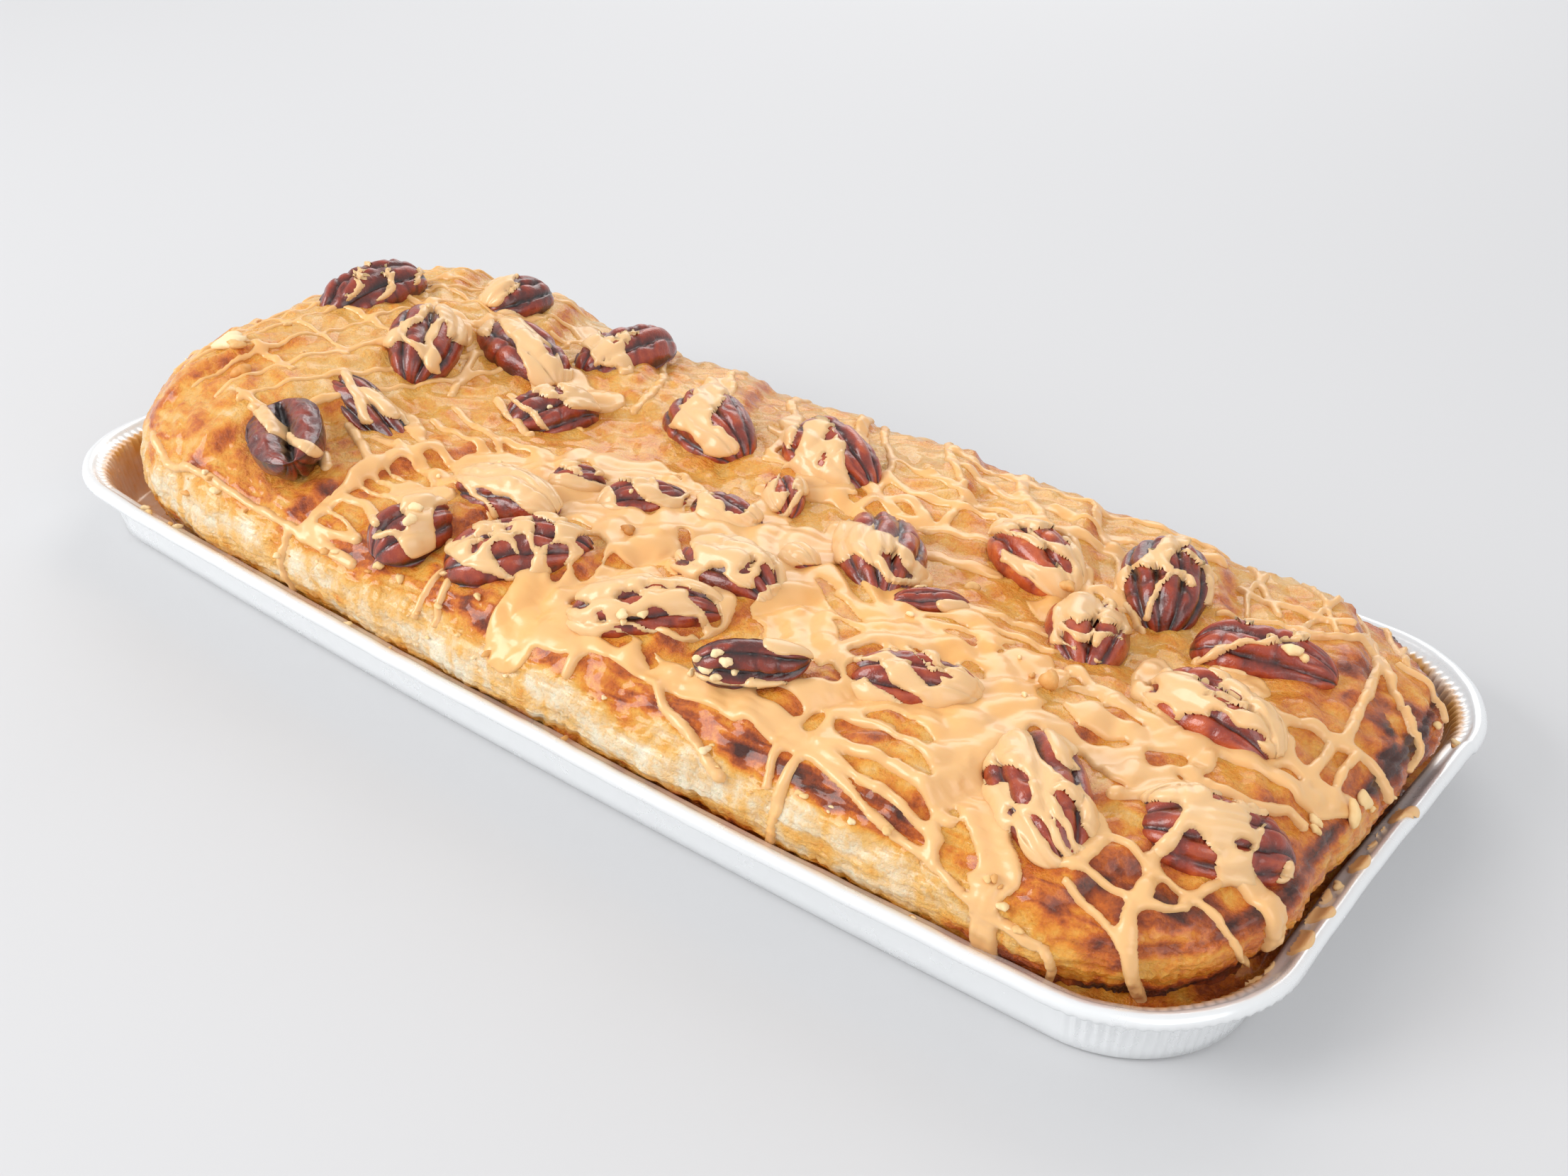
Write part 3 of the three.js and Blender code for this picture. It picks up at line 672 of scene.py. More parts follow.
# Sheets of icing: width, height, how clear, then x and y of each point on the unrolled plan, as the camera
# sees them there
SHEETS = [
    (14, 0.9, 0, -17, -49, -8, -45, 1, -42), (7, 0.9, 0, -21, -53, -11, -54, 0, -53),
    (16, 0.9, 0, 13, -51, 21, -48, 32, -45), (15, 0.9, 0, 22, -30, 32, -29, 40, -30),
    (15, 0.9, 0, 69, -38, 77, -36, 84, -36), (13, 0.9, 0, 101, -44, 109, -47, 117, -53),
    (12, 1.0, 0, 128, -36, 137, -34, 146, -33), (11, 1.0, 0, 108, -1, 118, -5, 130, -9),
    (10, 0.9, 0, 108, -4, 114, -8, 119, -8), (6, 0.9, 0, 110, -11, 119, -12),
    (13, 0.9, 0, 88, 7, 91, 1, 93, -5), (14, 0.9, 0, 63, 21, 70, 16, 77, 13),
    (10, 0.9, 0, 34, 0, 41, -1, 47, -4, 55, -8), (3, 0.9, 0, 30, 11, 32, 15, 37, 18, 42, 16, 47, 11),
    (6, 0.9, 0, 68, -12, 73, -14), (8, 0.9, 0, -38, -49, -35, -53, -30, -57),
    (13, 0.9, 0, -3, 36, 5, 28, 12, 20, 19, 13), (8, 0.9, 0, 10, 16, 13, 5, 18, -8),
    (9, 0.9, 0, -32, 42, -27, 28, -23, 16), (8, 0.9, 0, -24, 18, -16, 15, -10, 12),
    (10, 0.9, 0, -60, 14, -52, 10, -46, 12), (10, 0.9, 0, -78, 44, -70, 40, -62, 34, -55, 27),
    (9, 0.9, 0, -88, 24, -78, 20, -68, 14, -60, 7), (7, 0.9, 0, -108, 48, -102, 38, -97, 26),
    (6, 0.9, 0, -99, 9, -93, 9, -88, 5), (4.4, 1.0, 0, 85, 52, 87, 45, 88, 38, 89, 33),
    (18, 0.7, 0, 97, -45, 101, -51), (9, 0.9, 0, 101, -53, 106, -60, 111, -65),
    (5, 0.9, 0, 111, -64, 112, -72, 112, -83), (11, 0.8, 0, 104, -22, 114, -26, 124, -24),
    (8, 0.8, 0, 102, -34, 112, -35, 124, -34), (13, 0.6, 0.35, 91, -20, 92, -30, 89, -42),
    (9, 0.6, 0.3, 72, -47, 82, -45, 92, -45), (8, 0.8, 0, 67, -53, 70, -58),
    (6, 0.8, 0, 57, -58, 66, -59, 73, -58), (5, 0.8, 0, 56, -54, 62, -52, 70, -50, 78, -49),
    (6, 0.6, 0.3, 12, -58, 24, -59, 40, -59, 56, -59), (12, 0.5, 0.5, 4, -58, 5, -66),
    (6, 0.6, 0.2, 12, -62, 20, -61), (14, 0.5, 0.35, -40, -31, -26, -32, -14, -28),
    (14, 0.6, 0.25, -14, -30, 0, -32, 10, -34), (14, 0.7, 0.1, -24, -14, -12, -10, 4, -14),
    (18, 0.6, 0.2, 12, -20, 22, -18, 34, -12), (12, 0.5, 0.45, 44, -34, 52, -38, 58, -44),
    (8, 0.5, 0.3, 118, 5, 124, 3), (6, 0.7, 0, 148, -13, 152, -8),
]

# Places inside the sheets that stay bare: width, then x and y of each point
BARE = [
    (4, -10, -41, -7, -44), (4, -2, -45, 1, -48), (4, 1, -40, 5, -42, 7, -47), (2, -13, -45, -5, -50),
    (4, -13, -50, -9, -52, -4, -53), (1.5, -18, -48, -17, -53), (1.2, -22, -49, -22, -52),
    (1.2, -17, -44, -16, -45), (1.2, -14, -39, -12, -40), (1.2, -7, -37, -2, -37), (3.6, 19, -48, 21, -48),
    (2.4, 12, -54, 14, -54), (1.2, 18, -54, 20, -55), (1.2, 21, -44, 24, -42, 28, -41, 31, -41),
    (2.4, 31, -42, 34, -43, 38, -45), (3.6, 28, -50, 31, -51, 35, -50), (1.4, 36, -48, 38, -49),
    (1.2, 24, -53, 29, -52), (2, 14, -27, 18, -30, 20, -31), (2, 19, -34, 21, -34), (1.2, 27, -31, 29, -32),
    (1.2, 31, -26, 31, -27), (1.4, 31, -29, 32, -29), (2, 34, -26, 37, -28, 39, -30), (1.8, 37, -31, 40, -34),
    (3.8, 28, -35, 33, -36, 39, -37), (2.4, 19, -39, 20, -40), (2.7, 66, -39, 68, -36, 70, -34, 72, -34),
    (2.4, 72, -35, 75, -34, 78, -34, 80, -35), (3.4, 69, -43, 70, -41, 72, -41),
    (2.2, 74, -41, 77, -41, 81, -42), (1, 73, -32, 77, -31), (1, 79, -32, 82, -33), (0.9, 78, -29, 80, -29),
    (1, 84, -28, 86, -29), (4, 101, -48, 104, -46, 107, -49), (2.4, 102, -37, 105, -38, 108, -39, 112, -42),
    (3.2, 113, -46, 116, -48, 120, -52), (1.2, 111, -50, 116, -53, 121, -57), (2.8, 111, -53, 114, -55),
    (1.2, 115, -55, 118, -57, 122, -58), (1.2, 108, -53, 108, -54), (4.4, 127, -40, 130, -39),
    (4, 126, -44, 130, -48), (7, 136, -42, 138, -45, 138, -48), (2.6, 131, -31, 135, -30),
    (1.5, 141, -28, 141, -29), (2.2, 141, -34, 142, -34), (4, 136, -27, 139, -23), (6, 146, -26, 147, -35),
    (3, 108, 4, 111, 2), (2, 109, -6, 110, -9), (2.6, 114, -12, 116, -14), (1.2, 118, -3, 124, -4),
    (2, 125, -4, 130, -3), (0.9, 114, 2, 119, 0, 124, -1), (2.6, 123, -9, 128, -11, 131, -9, 133, -9),
    (5, 121, -13, 126, -14, 131, -13, 133, -14), (2, 113, 4, 117, 3), (2.2, 86, 2, 87, 1), (2.2, 89, 2, 89, 3),
    (2.6, 91, 4, 93, 6, 95, 5), (1.6, 97, 5, 100, 1), (2.2, 88, -3, 91, -5), (3.2, 93, -4, 95, -8, 97, -12),
    (4, 91, -9, 95, -14), (4.4, 96, 1, 97, -3, 100, -6), (1, 86, 12, 89, 11), (1, 91, 12, 95, 10),
    (3.2, 61, 24, 65, 24, 69, 25), (5, 60, 17, 66, 17, 73, 17, 77, 18), (3, 60, 15, 62, 12),
    (5.5, 67, 7, 72, 6, 78, 4), (3.6, 47, -3, 51, -6, 54, -8), (7.5, 44, -52, 52, -50, 60, -48),
    (2.6, -37, -55, -35, -57), (1.6, -31, -46, -27, -50), (3.8, -36, -61, -31, -62), (3.4, 97, -25, 104, -21),
    (3, 108, -30, 114, -28), (4, 121, -28, 125, -26), (2.2, 110, -36, 116, -39), (2.2, 108, -22, 114, -21),
    (3.4, 99, -59, 106, -65), (2.4, 58, -55, 65, -55), (2.2, 69, -54, 69, -56),
    (2.4, 77, -50, 82, -48, 89, -49), (2.4, 24, -58, 28, -58), (1.4, 32, -57, 35, -58),
    (1.5, -5, 41, -2, 34, 2, 26, 5, 19), (2.0, 6, 34, 8, 30), (6, 17, 29, 21, 24, 25, 19),
    (1.2, 11, 24, 13, 19), (3.2, 9, 12, 12, 6), (1.0, 14, 8, 17, 0, 20, -12), (1.4, -18, 21, -17, 19),
    (2.0, -35, 32, -32, 26), (1.2, -60, 9, -57, 8), (7, -57, 1, -48, -1), (5.5, -57, 26, -53, 22),
    (3.0, -71, 34, -66, 26), (2.0, -86, 28, -78, 27, -68, 22), (5, -8, -8, -3, -12), (2.4, -25, -16, -20, -19),
    (2.8, 3, -13, 7, -18),
]

# Ropes of icing: width, height, how clear, then x and y of each point
ROPES = [
    (2.2, 1.2, 0, 38, -61, 43, -65, 50, -67, 59, -71), (2.2, 1.0, 0, 52, -60, 58, -59, 64, -60, 68, -61),
    (1.8, 1.1, 0, 66, -60, 67, -65, 68, -69), (2.2, 1.1, 0, 71, -58, 71, -64, 71, -72),
    (2.0, 0.5, 0.5, 71, -72, 70, -78, 68, -84), (2.2, 1.1, 0, 21, -61, 21, -67),
    (1.8, 1.1, 0, 72, -51, 80, -51, 88, -52, 97, -55), (2.4, 1.1, 0, 72, -58, 82, -57, 90, -57, 100, -60),
    (1.8, 1.1, 0, 72, -59, 82, -61, 90, -62, 100, -64),
    (1.9, 1.1, 0, 72, -61, 80, -63, 90, -66, 100, -68, 109, -71), (2.2, 1.1, 0, 96, -54, 98, -62, 101, -68),
    (2.4, 1.0, 0, 113, -72, 120, -73, 125, -74, 127, -79, 127, -84),
    (2.4, 1.2, 0, 97, -46, 103, -42, 112, -44, 118, -47, 123, -52),
    (1.1, 1.0, 0, 107, -46, 110, -49, 117, -55, 122, -58), (1.1, 1.0, 0, 109, -52, 118, -59),
    (1.6, 1.1, 0, 119, -50, 131, -50, 144, -51, 154, -52, 161, -49),
    (3.2, 1.2, 0, 132, -50, 133, -56, 133, -60, 137, -66, 143, -71, 150, -74),
    (1.6, 1.1, 0, 121, -58, 131, -57, 136, -56, 140, -53), (1.8, 1.1, 0, 122, -61, 130, -63, 135, -65),
    (2.2, 1.1, 0, 132, -38, 132, -43, 131, -49), (2.0, 1.1, 0, 143, -38, 142, -45, 139, -52),
    (5.0, 1.2, 0, 142, -41, 150, -42, 159, -43),
    (2.0, 1.1, 0, 131, -28, 137, -27, 141, -25, 144, -21, 148, -21),
    (3.0, 1.1, 0, 120, -42, 126, -37, 133, -33), (2.6, 1.1, 0, 126, -20, 128, -28, 132, -31),
    (3.0, 1.2, 0, 134, -6, 137, -10, 136, -16, 130, -18, 125, -19), (3.0, 1.2, 0, 126, -1, 132, -3, 136, -9),
    (3.0, 1.1, 0, 96, -14, 103, -17, 112, -19, 120, -20),
    (2.6, 1.2, 0, 131, -4, 136, 0, 141, 2, 146, 4, 152, 5, 158, 5),
    (2.4, 1.2, 0, 142, 2, 143, -4, 143, -10, 144, -16), (2.2, 1.2, 0, 147, 3, 147, -4, 149, -10),
    (2.6, 1.2, 0, 134, -10, 140, -11, 148, -10), (3.4, 1.2, 0, 130, -18, 136, -17, 142, -16, 148, -14),
    (2.4, 1.2, 0, 133, 50, 137, 40, 140, 26, 142, 13, 144, 3),
    (2.2, 1.2, 0, 137, 44, 142, 35, 147, 29, 152, 25, 157, 22, 158, 18),
    (2.2, 1.2, 0, 132, 47, 129, 40, 124, 34, 122, 29, 119, 23, 115, 19, 113, 12, 111, 7),
    (1.4, 1.0, 0, 124, 34, 118, 33, 113, 30, 107, 25), (4.0, 1.2, 0, 131, 52, 134, 45),
    (2.2, 1.1, 0, 140, 47, 148, 47, 155, 45), (1.8, 1.1, 0, 128, 48, 120, 45, 112, 43, 104, 45),
    (1.5, 1.1, 0, 121, 60, 121, 48, 122, 34), (1.5, 1.1, 0, 105, 57, 106, 45, 111, 32),
    (1.5, 1.1, 0, 140, 50, 138, 60), (2.2, 0.9, 0, 105, -4, 107, -10, 113, -15, 120, -18),
    (2.0, 1.0, 0, 87, 34, 86, 27, 87, 21, 89, 16), (2.8, 1.0, 0, 88, 38, 92, 35, 96, 34, 98, 31),
    (1.3, 1.0, 0, 93, 33, 94, 25, 95, 19, 97, 13), (1.5, 1.0, 0, 90, 48, 94, 45, 98, 40, 102, 33, 104, 26),
    (1.8, 1.0, 0, 83, 10, 86, 14, 92, 14, 98, 9), (2.4, 1.0, 0, 58, 24, 67, 29, 74, 25, 81, 14),
    (2.0, 0.9, 0.2, 12, 30, 16, 22, 26, 13), (1.4, 0.9, 0, -39, -38, -30, -41, -22, -43),
    (1.8, 1.0, 0, -98, -50, -86, -49, -74, -49, -64, -52),
    (1.8, 1.0, 0.1, -120, -66, -105, -69, -95, -67, -80, -66, -62, -66, -50, -67, -40, -67),
    (2.0, 0.9, 0.1, -61, -66, -61, -74, -60, -81), (1.8, 0.9, 0.1, -15, -62, -14, -70),
    (1.8, 0.9, 0.1, -19, -60, -19, -70), (3.4, 0.8, 0.1, -52, -33, -56, -45, -57, -66),
    (2.2, 0.9, 0, -75, -38, -65, -42, -57, -46), (1.6, 0.9, 0, -56, -55, -48, -55, -41, -58),
    (1.8, 1.0, 0, -56, -64, -48, -63, -42, -63), (2.2, 0.6, 0.5, -50, -20, -40, -24, -26, -26),
    (2.4, 0.9, 0, -134, 16, -127, 7, -121, -3), (2.2, 0.9, 0, -132, 22, -124, 16, -118, 10, -115, 2),
    (1.6, 0.9, 0, -126, 32, -121, 24, -116, 18), (3.0, 0.9, 0, -104, 12, -100, 4, -97, -4, -94, -12),
    (2.2, 0.9, 0, -96, 8, -93, 2, -90, -3, -84, -6), (2.8, 0.9, 0, -96, -8, -88, -7, -81, -9),
    (2.4, 0.9, 0, -81, 3, -76, -5, -72, -12), (3.0, 0.9, 0, -90, 18, -86, 11),
    (2.5, 0.9, 0, -74, 60, -70, 50, -64, 44), (2.4, 0.9, 0, -62, -3, -54, -4, -46, -7),
    (2.4, 0.9, 0, -62, -7, -54, -10, -45, -13), (2.4, 0.9, 0, -91, -51, -85, -50, -78, -49, -69, -49, -64, -52),
    (2.6, 0.9, 0, -89, -28, -83, -30, -75, -33), (3.4, 0.9, 0, -81, -29, -76, -27, -68, -27, -61, -30),
    (4.0, 0.9, 0, -45, -48, -41, -46, -34, -45), (3.6, 0.9, 0, -38, -47, -34, -52, -27, -57),
    (1.6, 0.9, 0, -39, -60, -36, -58, -30, -59),
]

# Runs of strokes alike: how many, step in x and y, width, height, how clear, then x and y of the first
# stroke's points
RUNS = [
    (7, 0, -4, 1.2, 0.9, 0.1, -56, -40, -48, -40, -40, -42),
    (7, 10, 0, 1.7, 0.45, 0.45, -146, -52, -139, -26, -133, 4, -125, 34),
    (5, 4, 15, 1.8, 0.45, 0.45, -146, -40, -122, -36, -98, -38),
    (6, 12, 0, 1.9, 0.45, 0.45, -138, 30, -128, 46, -122, 60),
    (4, 0, -7, 2.4, 0.5, 0.5, -66, -16, -48, -19, -28, -20),
    (4, 20, 0, 2.6, 0.6, 0.35, -62, 66, -56, 50, -44, 34, -38, 14),
    (4, 20, -2, 2.6, 0.6, 0.4, 2, 64, 12, 48, 24, 32, 30, 16),
    (3, -4, 11, 3.0, 0.6, 0.4, 36, 34, 58, 30, 82, 34, 100, 40),
    (3, 6, -11, 3.0, 0.5, 0.5, -4, 26, 14, 30, 34, 24, 56, 26),
    (4, 9, -7, 2.0, 0.6, 0.45, 42, -16, 54, -22, 66, -29, 76, -30),
    (3, 5, 8, 2.4, 0.6, 0.4, 58, -28, 70, -22, 84, -17),
    (4, 9, 4, 1.6, 0.8, 0.2, 100, 62, 108, 52, 116, 38),
]


def wandering_runs():
    """The strokes of all the runs, each a little different."""
    draw = np.random.default_rng(RUN_SEED)
    strokes = []
    for count, step_x, step_y, width, height, clear, *first in RUNS:
        for index in range(count):
            points = np.reshape(first, (-1, 2)) + (np.array((step_x, step_y)) * index + draw.normal(0, 0.7, 2))
            points = points + draw.normal(0, 0.9, points.shape)
            strokes.append((width * draw.uniform(0.8, 1.25), height, clear, *points.ravel()))
    return strokes


def smooth_path(points, step):
    """A curve through points that are given as x, y, x, y and so on, as evenly spaced places."""
    points = np.reshape(points, (-1, 2)).astype(float)
    padded = np.vstack([2 * points[0] - points[1], points, 2 * points[-1] - points[-2]])
    pieces = []
    for p0, p1, p2, p3 in zip(padded, padded[1:], padded[2:], padded[3:]):
        count = max(2, int(np.linalg.norm(p2 - p1) / step))
        t = np.linspace(0, 1, count, endpoint=False)[:, None]
        bend = 2 * p1 + (p2 - p0) * t + (2 * p0 - 5 * p1 + 4 * p2 - p3) * t ** 2
        pieces.append(0.5 * (bend + (3 * p1 - p0 - 3 * p2 + p3) * t ** 3))
    return np.vstack(pieces + [points[-1:]])


def path_distance(a, b, width, points):
    """Distance from a stroke's edge, inside it below 0, at those plan points that it comes near."""
    path = smooth_path(points, 0.6)
    half = width / 2 * (1 + 0.2 * noise_a.layered(path[:, 0] / 5, path[:, 1] / 5, 2))
    reach = width / 2 * 1.2 + 3

    def near(x, y, part):
        low, high = part.min(0) - reach, part.max(0) + reach
        return (x > low[0]) & (x < high[0]) & (y > low[1]) & (y < high[1])

    chosen = np.nonzero(near(a, b, path))
    near_a, near_b = a[chosen], b[chosen]
    best = np.full(near_a.shape, FAR_OFF)
    for start in range(0, len(path), PATH_BATCH):
        some, wide = path[start:start + PATH_BATCH], half[start:start + PATH_BATCH]
        close = near(near_a, near_b, some)
        gaps = np.hypot(near_a[close, None] - some[:, 0], near_b[close, None] - some[:, 1]) - wide
        best[close] = np.minimum(best[close], gaps.min(axis=1))
    return chosen, best


def melted(one, other):
    """The nearer of two edges, rounded out where they meet."""
    share = np.clip(MELT - np.abs(one - other), 0, None) / MELT
    return np.minimum(one, other) - share * share * MELT / 4


def icing_plan(a, b, with_film=True):
    """Distance from the icing's edge, its height and how clear it is, at every plan point."""
    edge = np.full(a.shape, FAR_OFF)
    height, clear = np.full(a.shape, 0.8), np.zeros(a.shape)

    def lay(strokes):
        for width, tall, see_through, *points in strokes:
            chosen, distance = path_distance(a, b, width, points)
            before = edge[chosen]
            ahead = distance < before
            height[chosen] = np.where(ahead, tall, height[chosen])
            clear[chosen] = np.where(ahead, see_through, clear[chosen])
            edge[chosen] = melted(before, distance)

    lay(SHEETS)
    for width, *points in BARE:
        chosen, distance = path_distance(a, b, width, points)
        edge[chosen] = -melted(-edge[chosen], distance)
    if with_film:
        film = film_edge(a, b)
        over = film < edge
        edge[over], height[over], clear[over] = film[over], FILM_HEIGHT, FILM_CLEAR
        lay(wandering_runs())
    lay(ROPES)
    return edge, height, clear


def film_edge(a, b):
    """Distance from the ragged edge of a thin film, along the trench and in streaks on the far side."""
    along, across = a * 0.9 - b * 0.4, a * 0.4 + b * 0.9
    ragged = noise_b.layered(along / 18, across / 6, 2)
    trench = hump(-18, 20, b) * ramp(-52, -30, a) * ramp(104, 92, a)
    far = 0.3 * hump(30, 20, b) * ramp(-60, -30, a) * ramp(100, 80, a)
    there = np.maximum(trench, far)
    return FAR_OFF * (0.36 - 0.38 * there + 0.5 * ragged + ramp(0.15, 0.02, there))


def blurred(values, sigma):
    """A soft copy of a grid of numbers."""
    radius = int(3 * sigma + 1)
    kernel = np.exp(-0.5 * (np.arange(-radius, radius + 1) / sigma) ** 2)
    kernel /= kernel.sum()
    padded = np.pad(values, radius, mode="edge")
    rows = sum(k * padded[i:i + values.shape[0], :] for i, k in enumerate(kernel))
    return sum(k * rows[:, i:i + values.shape[1]] for i, k in enumerate(kernel))


def widened(values):
    """A copy in which each number is the largest of itself and its four neighbours."""
    padded = np.pad(values, 1, mode="edge")
    sides = [padded[:-2, 1:-1], padded[2:, 1:-1], padded[1:-1, :-2], padded[1:-1, 2:]]
    return np.maximum.reduce([values] + sides)


def seen_plan(points, a, b):
    """The bare plan points that raised points hide from the camera, found from a first guess."""
    look = points - np.array(CAMERA_PLACE)
    look /= np.linalg.norm(look, axis=-1, keepdims=True)
    for _ in range(4):
        normals = skin_normal(a, b)
        gap = points - skin_point(a, b)
        facing = np.clip(-(look * normals).sum(-1), 0.25, 1)
        gap = gap + look * ((gap * normals).sum(-1) / facing)[..., None]
        along_a = (skin_point(a + 1, b) - skin_point(a - 1, b)) / 2
        along_b = (skin_point(a, b + 1) - skin_point(a, b - 1)) / 2
        a = a + np.clip((gap * along_a).sum(-1) / (along_a ** 2).sum(-1), -6, 6)
        b = b + np.clip((gap * along_b).sum(-1) / (along_b ** 2).sum(-1), -6, 6)
    return a, b


def thickness(edge, height):
    """How thick the icing is: rounded off towards its edge."""
    depth = np.clip(-edge / 1.1, 0, 1)
    return height * np.sqrt(1 - (1 - depth) ** 2)


def covered(quads, grown, inside):
    """Those of the quads that the icing covers or ends in."""
    return quads[grown.ravel()[quads].all(axis=1) & inside.ravel()[quads].any(axis=1)]


def make_icing(material):
    """The icing on the pastry itself."""
    reach = SHOULDER_END + 13
    lines = [np.arange(-core - reach, core + reach, GRID) for core in (CORE_X, CORE_Y)]
    a, b = np.meshgrid(*lines, indexing="ij")
    edge, height, clear = icing_plan(a, b)
    edge = np.maximum(edge, skin_distance(a, b) - reach + 1)

    # Points just outside the edge are moved onto it and sunk, so that the icing ends in a clean line
    inside = edge < 0
    grown = widened(widened(inside * 1.0)) > 0
    border = grown & ~inside
    slope_a, slope_b = np.gradient(edge, GRID)
    steep = np.maximum(np.hypot(slope_a, slope_b), 0.5)
    pull = np.where(border, np.clip(edge / steep, 0, 1.2 * GRID) / steep, 0)
    moved_a, moved_b = a - pull * slope_a, b - pull * slope_b
    thick = np.where(border, -0.45, thickness(edge, blurred(height, 1.5)))

    relief = fine_relief(a, b)
    base = np.where(border, fine_relief(moved_a, moved_b), np.maximum(blurred(relief, 1.2), relief))
    points = skin_point(moved_a, moved_b) + skin_normal(moved_a, moved_b, 1.2) * (base + thick)[..., None]
    used, quads = renumbered(covered(grid_faces(*a.shape), grown, inside))
    values = {"clear": blurred(clear, 1.5).ravel()[used], "over_nut": np.zeros(len(used))}
    return make_object("maple_icing", inside_box(points.reshape(-1, 3)[used]), quads, material, values=values)


def make_nut_icing(material, nuts):
    """The icing over the nuts: each nut's own surface again, raised where the strokes lie over it."""
    grid = (NUT_ROWS, NUT_AROUND)
    raw_points = np.array([points for points, _, _ in nuts]).reshape(-1, *grid, 3)
    place_a, place_b = np.array([nut[:2] for nut in NUTS], float).T[:, :, None, None] + np.zeros(grid)
    edges, heights, _ = icing_plan(*seen_plan(raw_points, place_a, place_b), with_film=False)
    shells = []
    for (a, b, *_), raw, edge, height in zip(NUTS, raw_points, edges, heights):
        soft = np.stack([blurred(raw[..., axis], 2.4) for axis in range(3)], -1)
        out = np.cross(np.gradient(soft, axis=0), np.gradient(soft, axis=1))
        out /= np.linalg.norm(out, axis=-1, keepdims=True) + 1e-9
        out *= np.sign(((raw - raw.mean((0, 1))) * out).sum())
        up = skin_normal(a, b)
        hidden = ((raw - skin_point(a, b)) @ up < -1) | (out @ up < -0.25)
        edge = np.where(hidden, np.maximum(edge, 0.5), edge)

        inside = edge < 0
        grown = widened(inside * 1.0) > 0
        border = grown & ~inside
        slopes = np.gradient(edge)
        pull = np.where(border, edge, 0) / np.maximum(slopes[0] ** 2 + slopes[1] ** 2, 0.01)
        moved = raw
        for axis, slope in enumerate(slopes):
            moved = moved + np.clip(-pull * slope, -1, 1)[..., None] * np.gradient(raw, axis=axis)
        lift = np.clip(((soft - raw) * out).sum(-1), 0, None) + thickness(edge, height)
        shell = np.where(border[..., None], moved - out * 0.3, raw + out * lift[..., None])
        used, quads = renumbered(covered(grid_faces(*grid, wrap_b=True), grown, inside))
        shells.append((shell.reshape(-1, 3)[used], quads[:, ::-1]))
    points, faces = merged(shells)
    values = {"clear": np.zeros(len(points)), "over_nut": np.ones(len(points))}
    return make_object("icing_on_nuts", inside_box(points), faces, material, values=values)


# Crumbs and bits

CRUMBS_ON_LOAF, CRUMBS_ON_RIM = 14, 70
CRUMB_PLACE_SEED, CRUMB_SHAPE_SEED = 77, 78

# Bits that the photo shows on the loaf: plan place, size, height, tone, where 0 is cream and 1 is brown
LOOSE_BITS = [
    (154, -3, 2.3, 1.0, 0.3), (154, -8, 2.2, 1.0, 0.35), (149, -18, 1.4, 0.8, 0.3), (150, -20, 1.1, 0.7, 0.4),
    (96, -22, 2.0, 1.8, 0.62), (44, -51, 1.1, 0.7, 0.1), (47, -52, 1.4, 0.8, 0.05), (50, -53, 1.0, 0.7, 0.15),
    (45, -55, 1.2, 0.8, 0.1), (42, -54, 1.0, 0.7, 0.2), (48, -56, 1.0, 0.7, 0.2), (43, -57, 0.9, 0.6, 0.25),
    (22, -52, 1.4, 0.7, 0.15), (26, -51, 1.2, 0.7, 0.2), (24, -54, 1.0, 0.6, 0.2), (-37, -51, 1.4, 1.0, 0.1),
    (-35, -54, 1.4, 1.0, 0.15), (-33, -65, 1.2, 0.9, 0.4), (-27, -65, 1.0, 0.8, 0.4), (-7, -62, 0.9, 0.7, 0.4),
    (-122, -40, 4.0, 1.6, 0.0), (-108, -44, 2.4, 1.4, 0.7), (-117, -41, 2.0, 1.0, 0.55),
    (124, 24, 1.6, 1.0, 0.2), (127, 22, 1.2, 0.9, 0.3), (5, -33, 1.5, 1.0, 0.8), (80, 11, 1.6, 1.0, 0.6),
    (66, -2, 1.4, 1.0, 0.5),
]


def wobble(draw, turn, two, three):
    """How far an uneven outline stands out from a circle: two wide bulges and three narrower ones."""
    return two * np.cos(2 * turn + draw.uniform(0, 6)) + three * np.cos(3 * turn + draw.uniform(0, 6))


def lump(draw, size, height):
    """A little lump with five uneven sides, as points round 0 and faces."""
    rows, around = 8, 14
    t = -np.cos(np.linspace(0, math.pi, rows))[:, None]
    turn = np.linspace(0, 2 * math.pi, around, endpoint=False)
    bulges = wobble(draw, turn, 0.22, 0.16)
    sides = np.arange(5) * 2 * math.pi / 5 + draw.uniform(-0.4, 0.4, 5)
    cut = np.cos(turn[:, None] - sides).max(axis=1)
    rough = (1 + bulges + 0.2 * (draw.random((rows, around)) - 0.5)) * 0.9 / np.clip(cut, 0.6, 1)
    wide = np.sqrt(1 - t * t) * rough
    stretch = draw.uniform(0.6, 1.0)
    x, y = np.cos(turn) * wide * size, np.sin(turn) * wide * size * stretch
    points = np.stack([x, y, (t + 0 * turn) * height], -1)
    return points.reshape(-1, 3), grid_faces(rows, around, wrap_b=True)[:, ::-1]


DRIP_SEED = 55
DRIP_LOWEST, DRIP_HIGHEST = 13.0, 17.0  # heights of the surface that a drip can lie on

# Icing that dripped on the rim: x, y, size
DRIPS = [
    (151, 10, 2.8), (148, 12, 2.6), (148, 4, 2.6), (148, -2, 3.0), (149, -8, 3.6), (147, -13, 3.2),
    (147, -19, 3.4), (149, -25, 3.6), (147, -30, 3.6), (149, -34, 4.4), (147, -39, 3.8), (145, -44, 3.8),
    (142, -49, 3.6), (138, -53, 3.0),
]


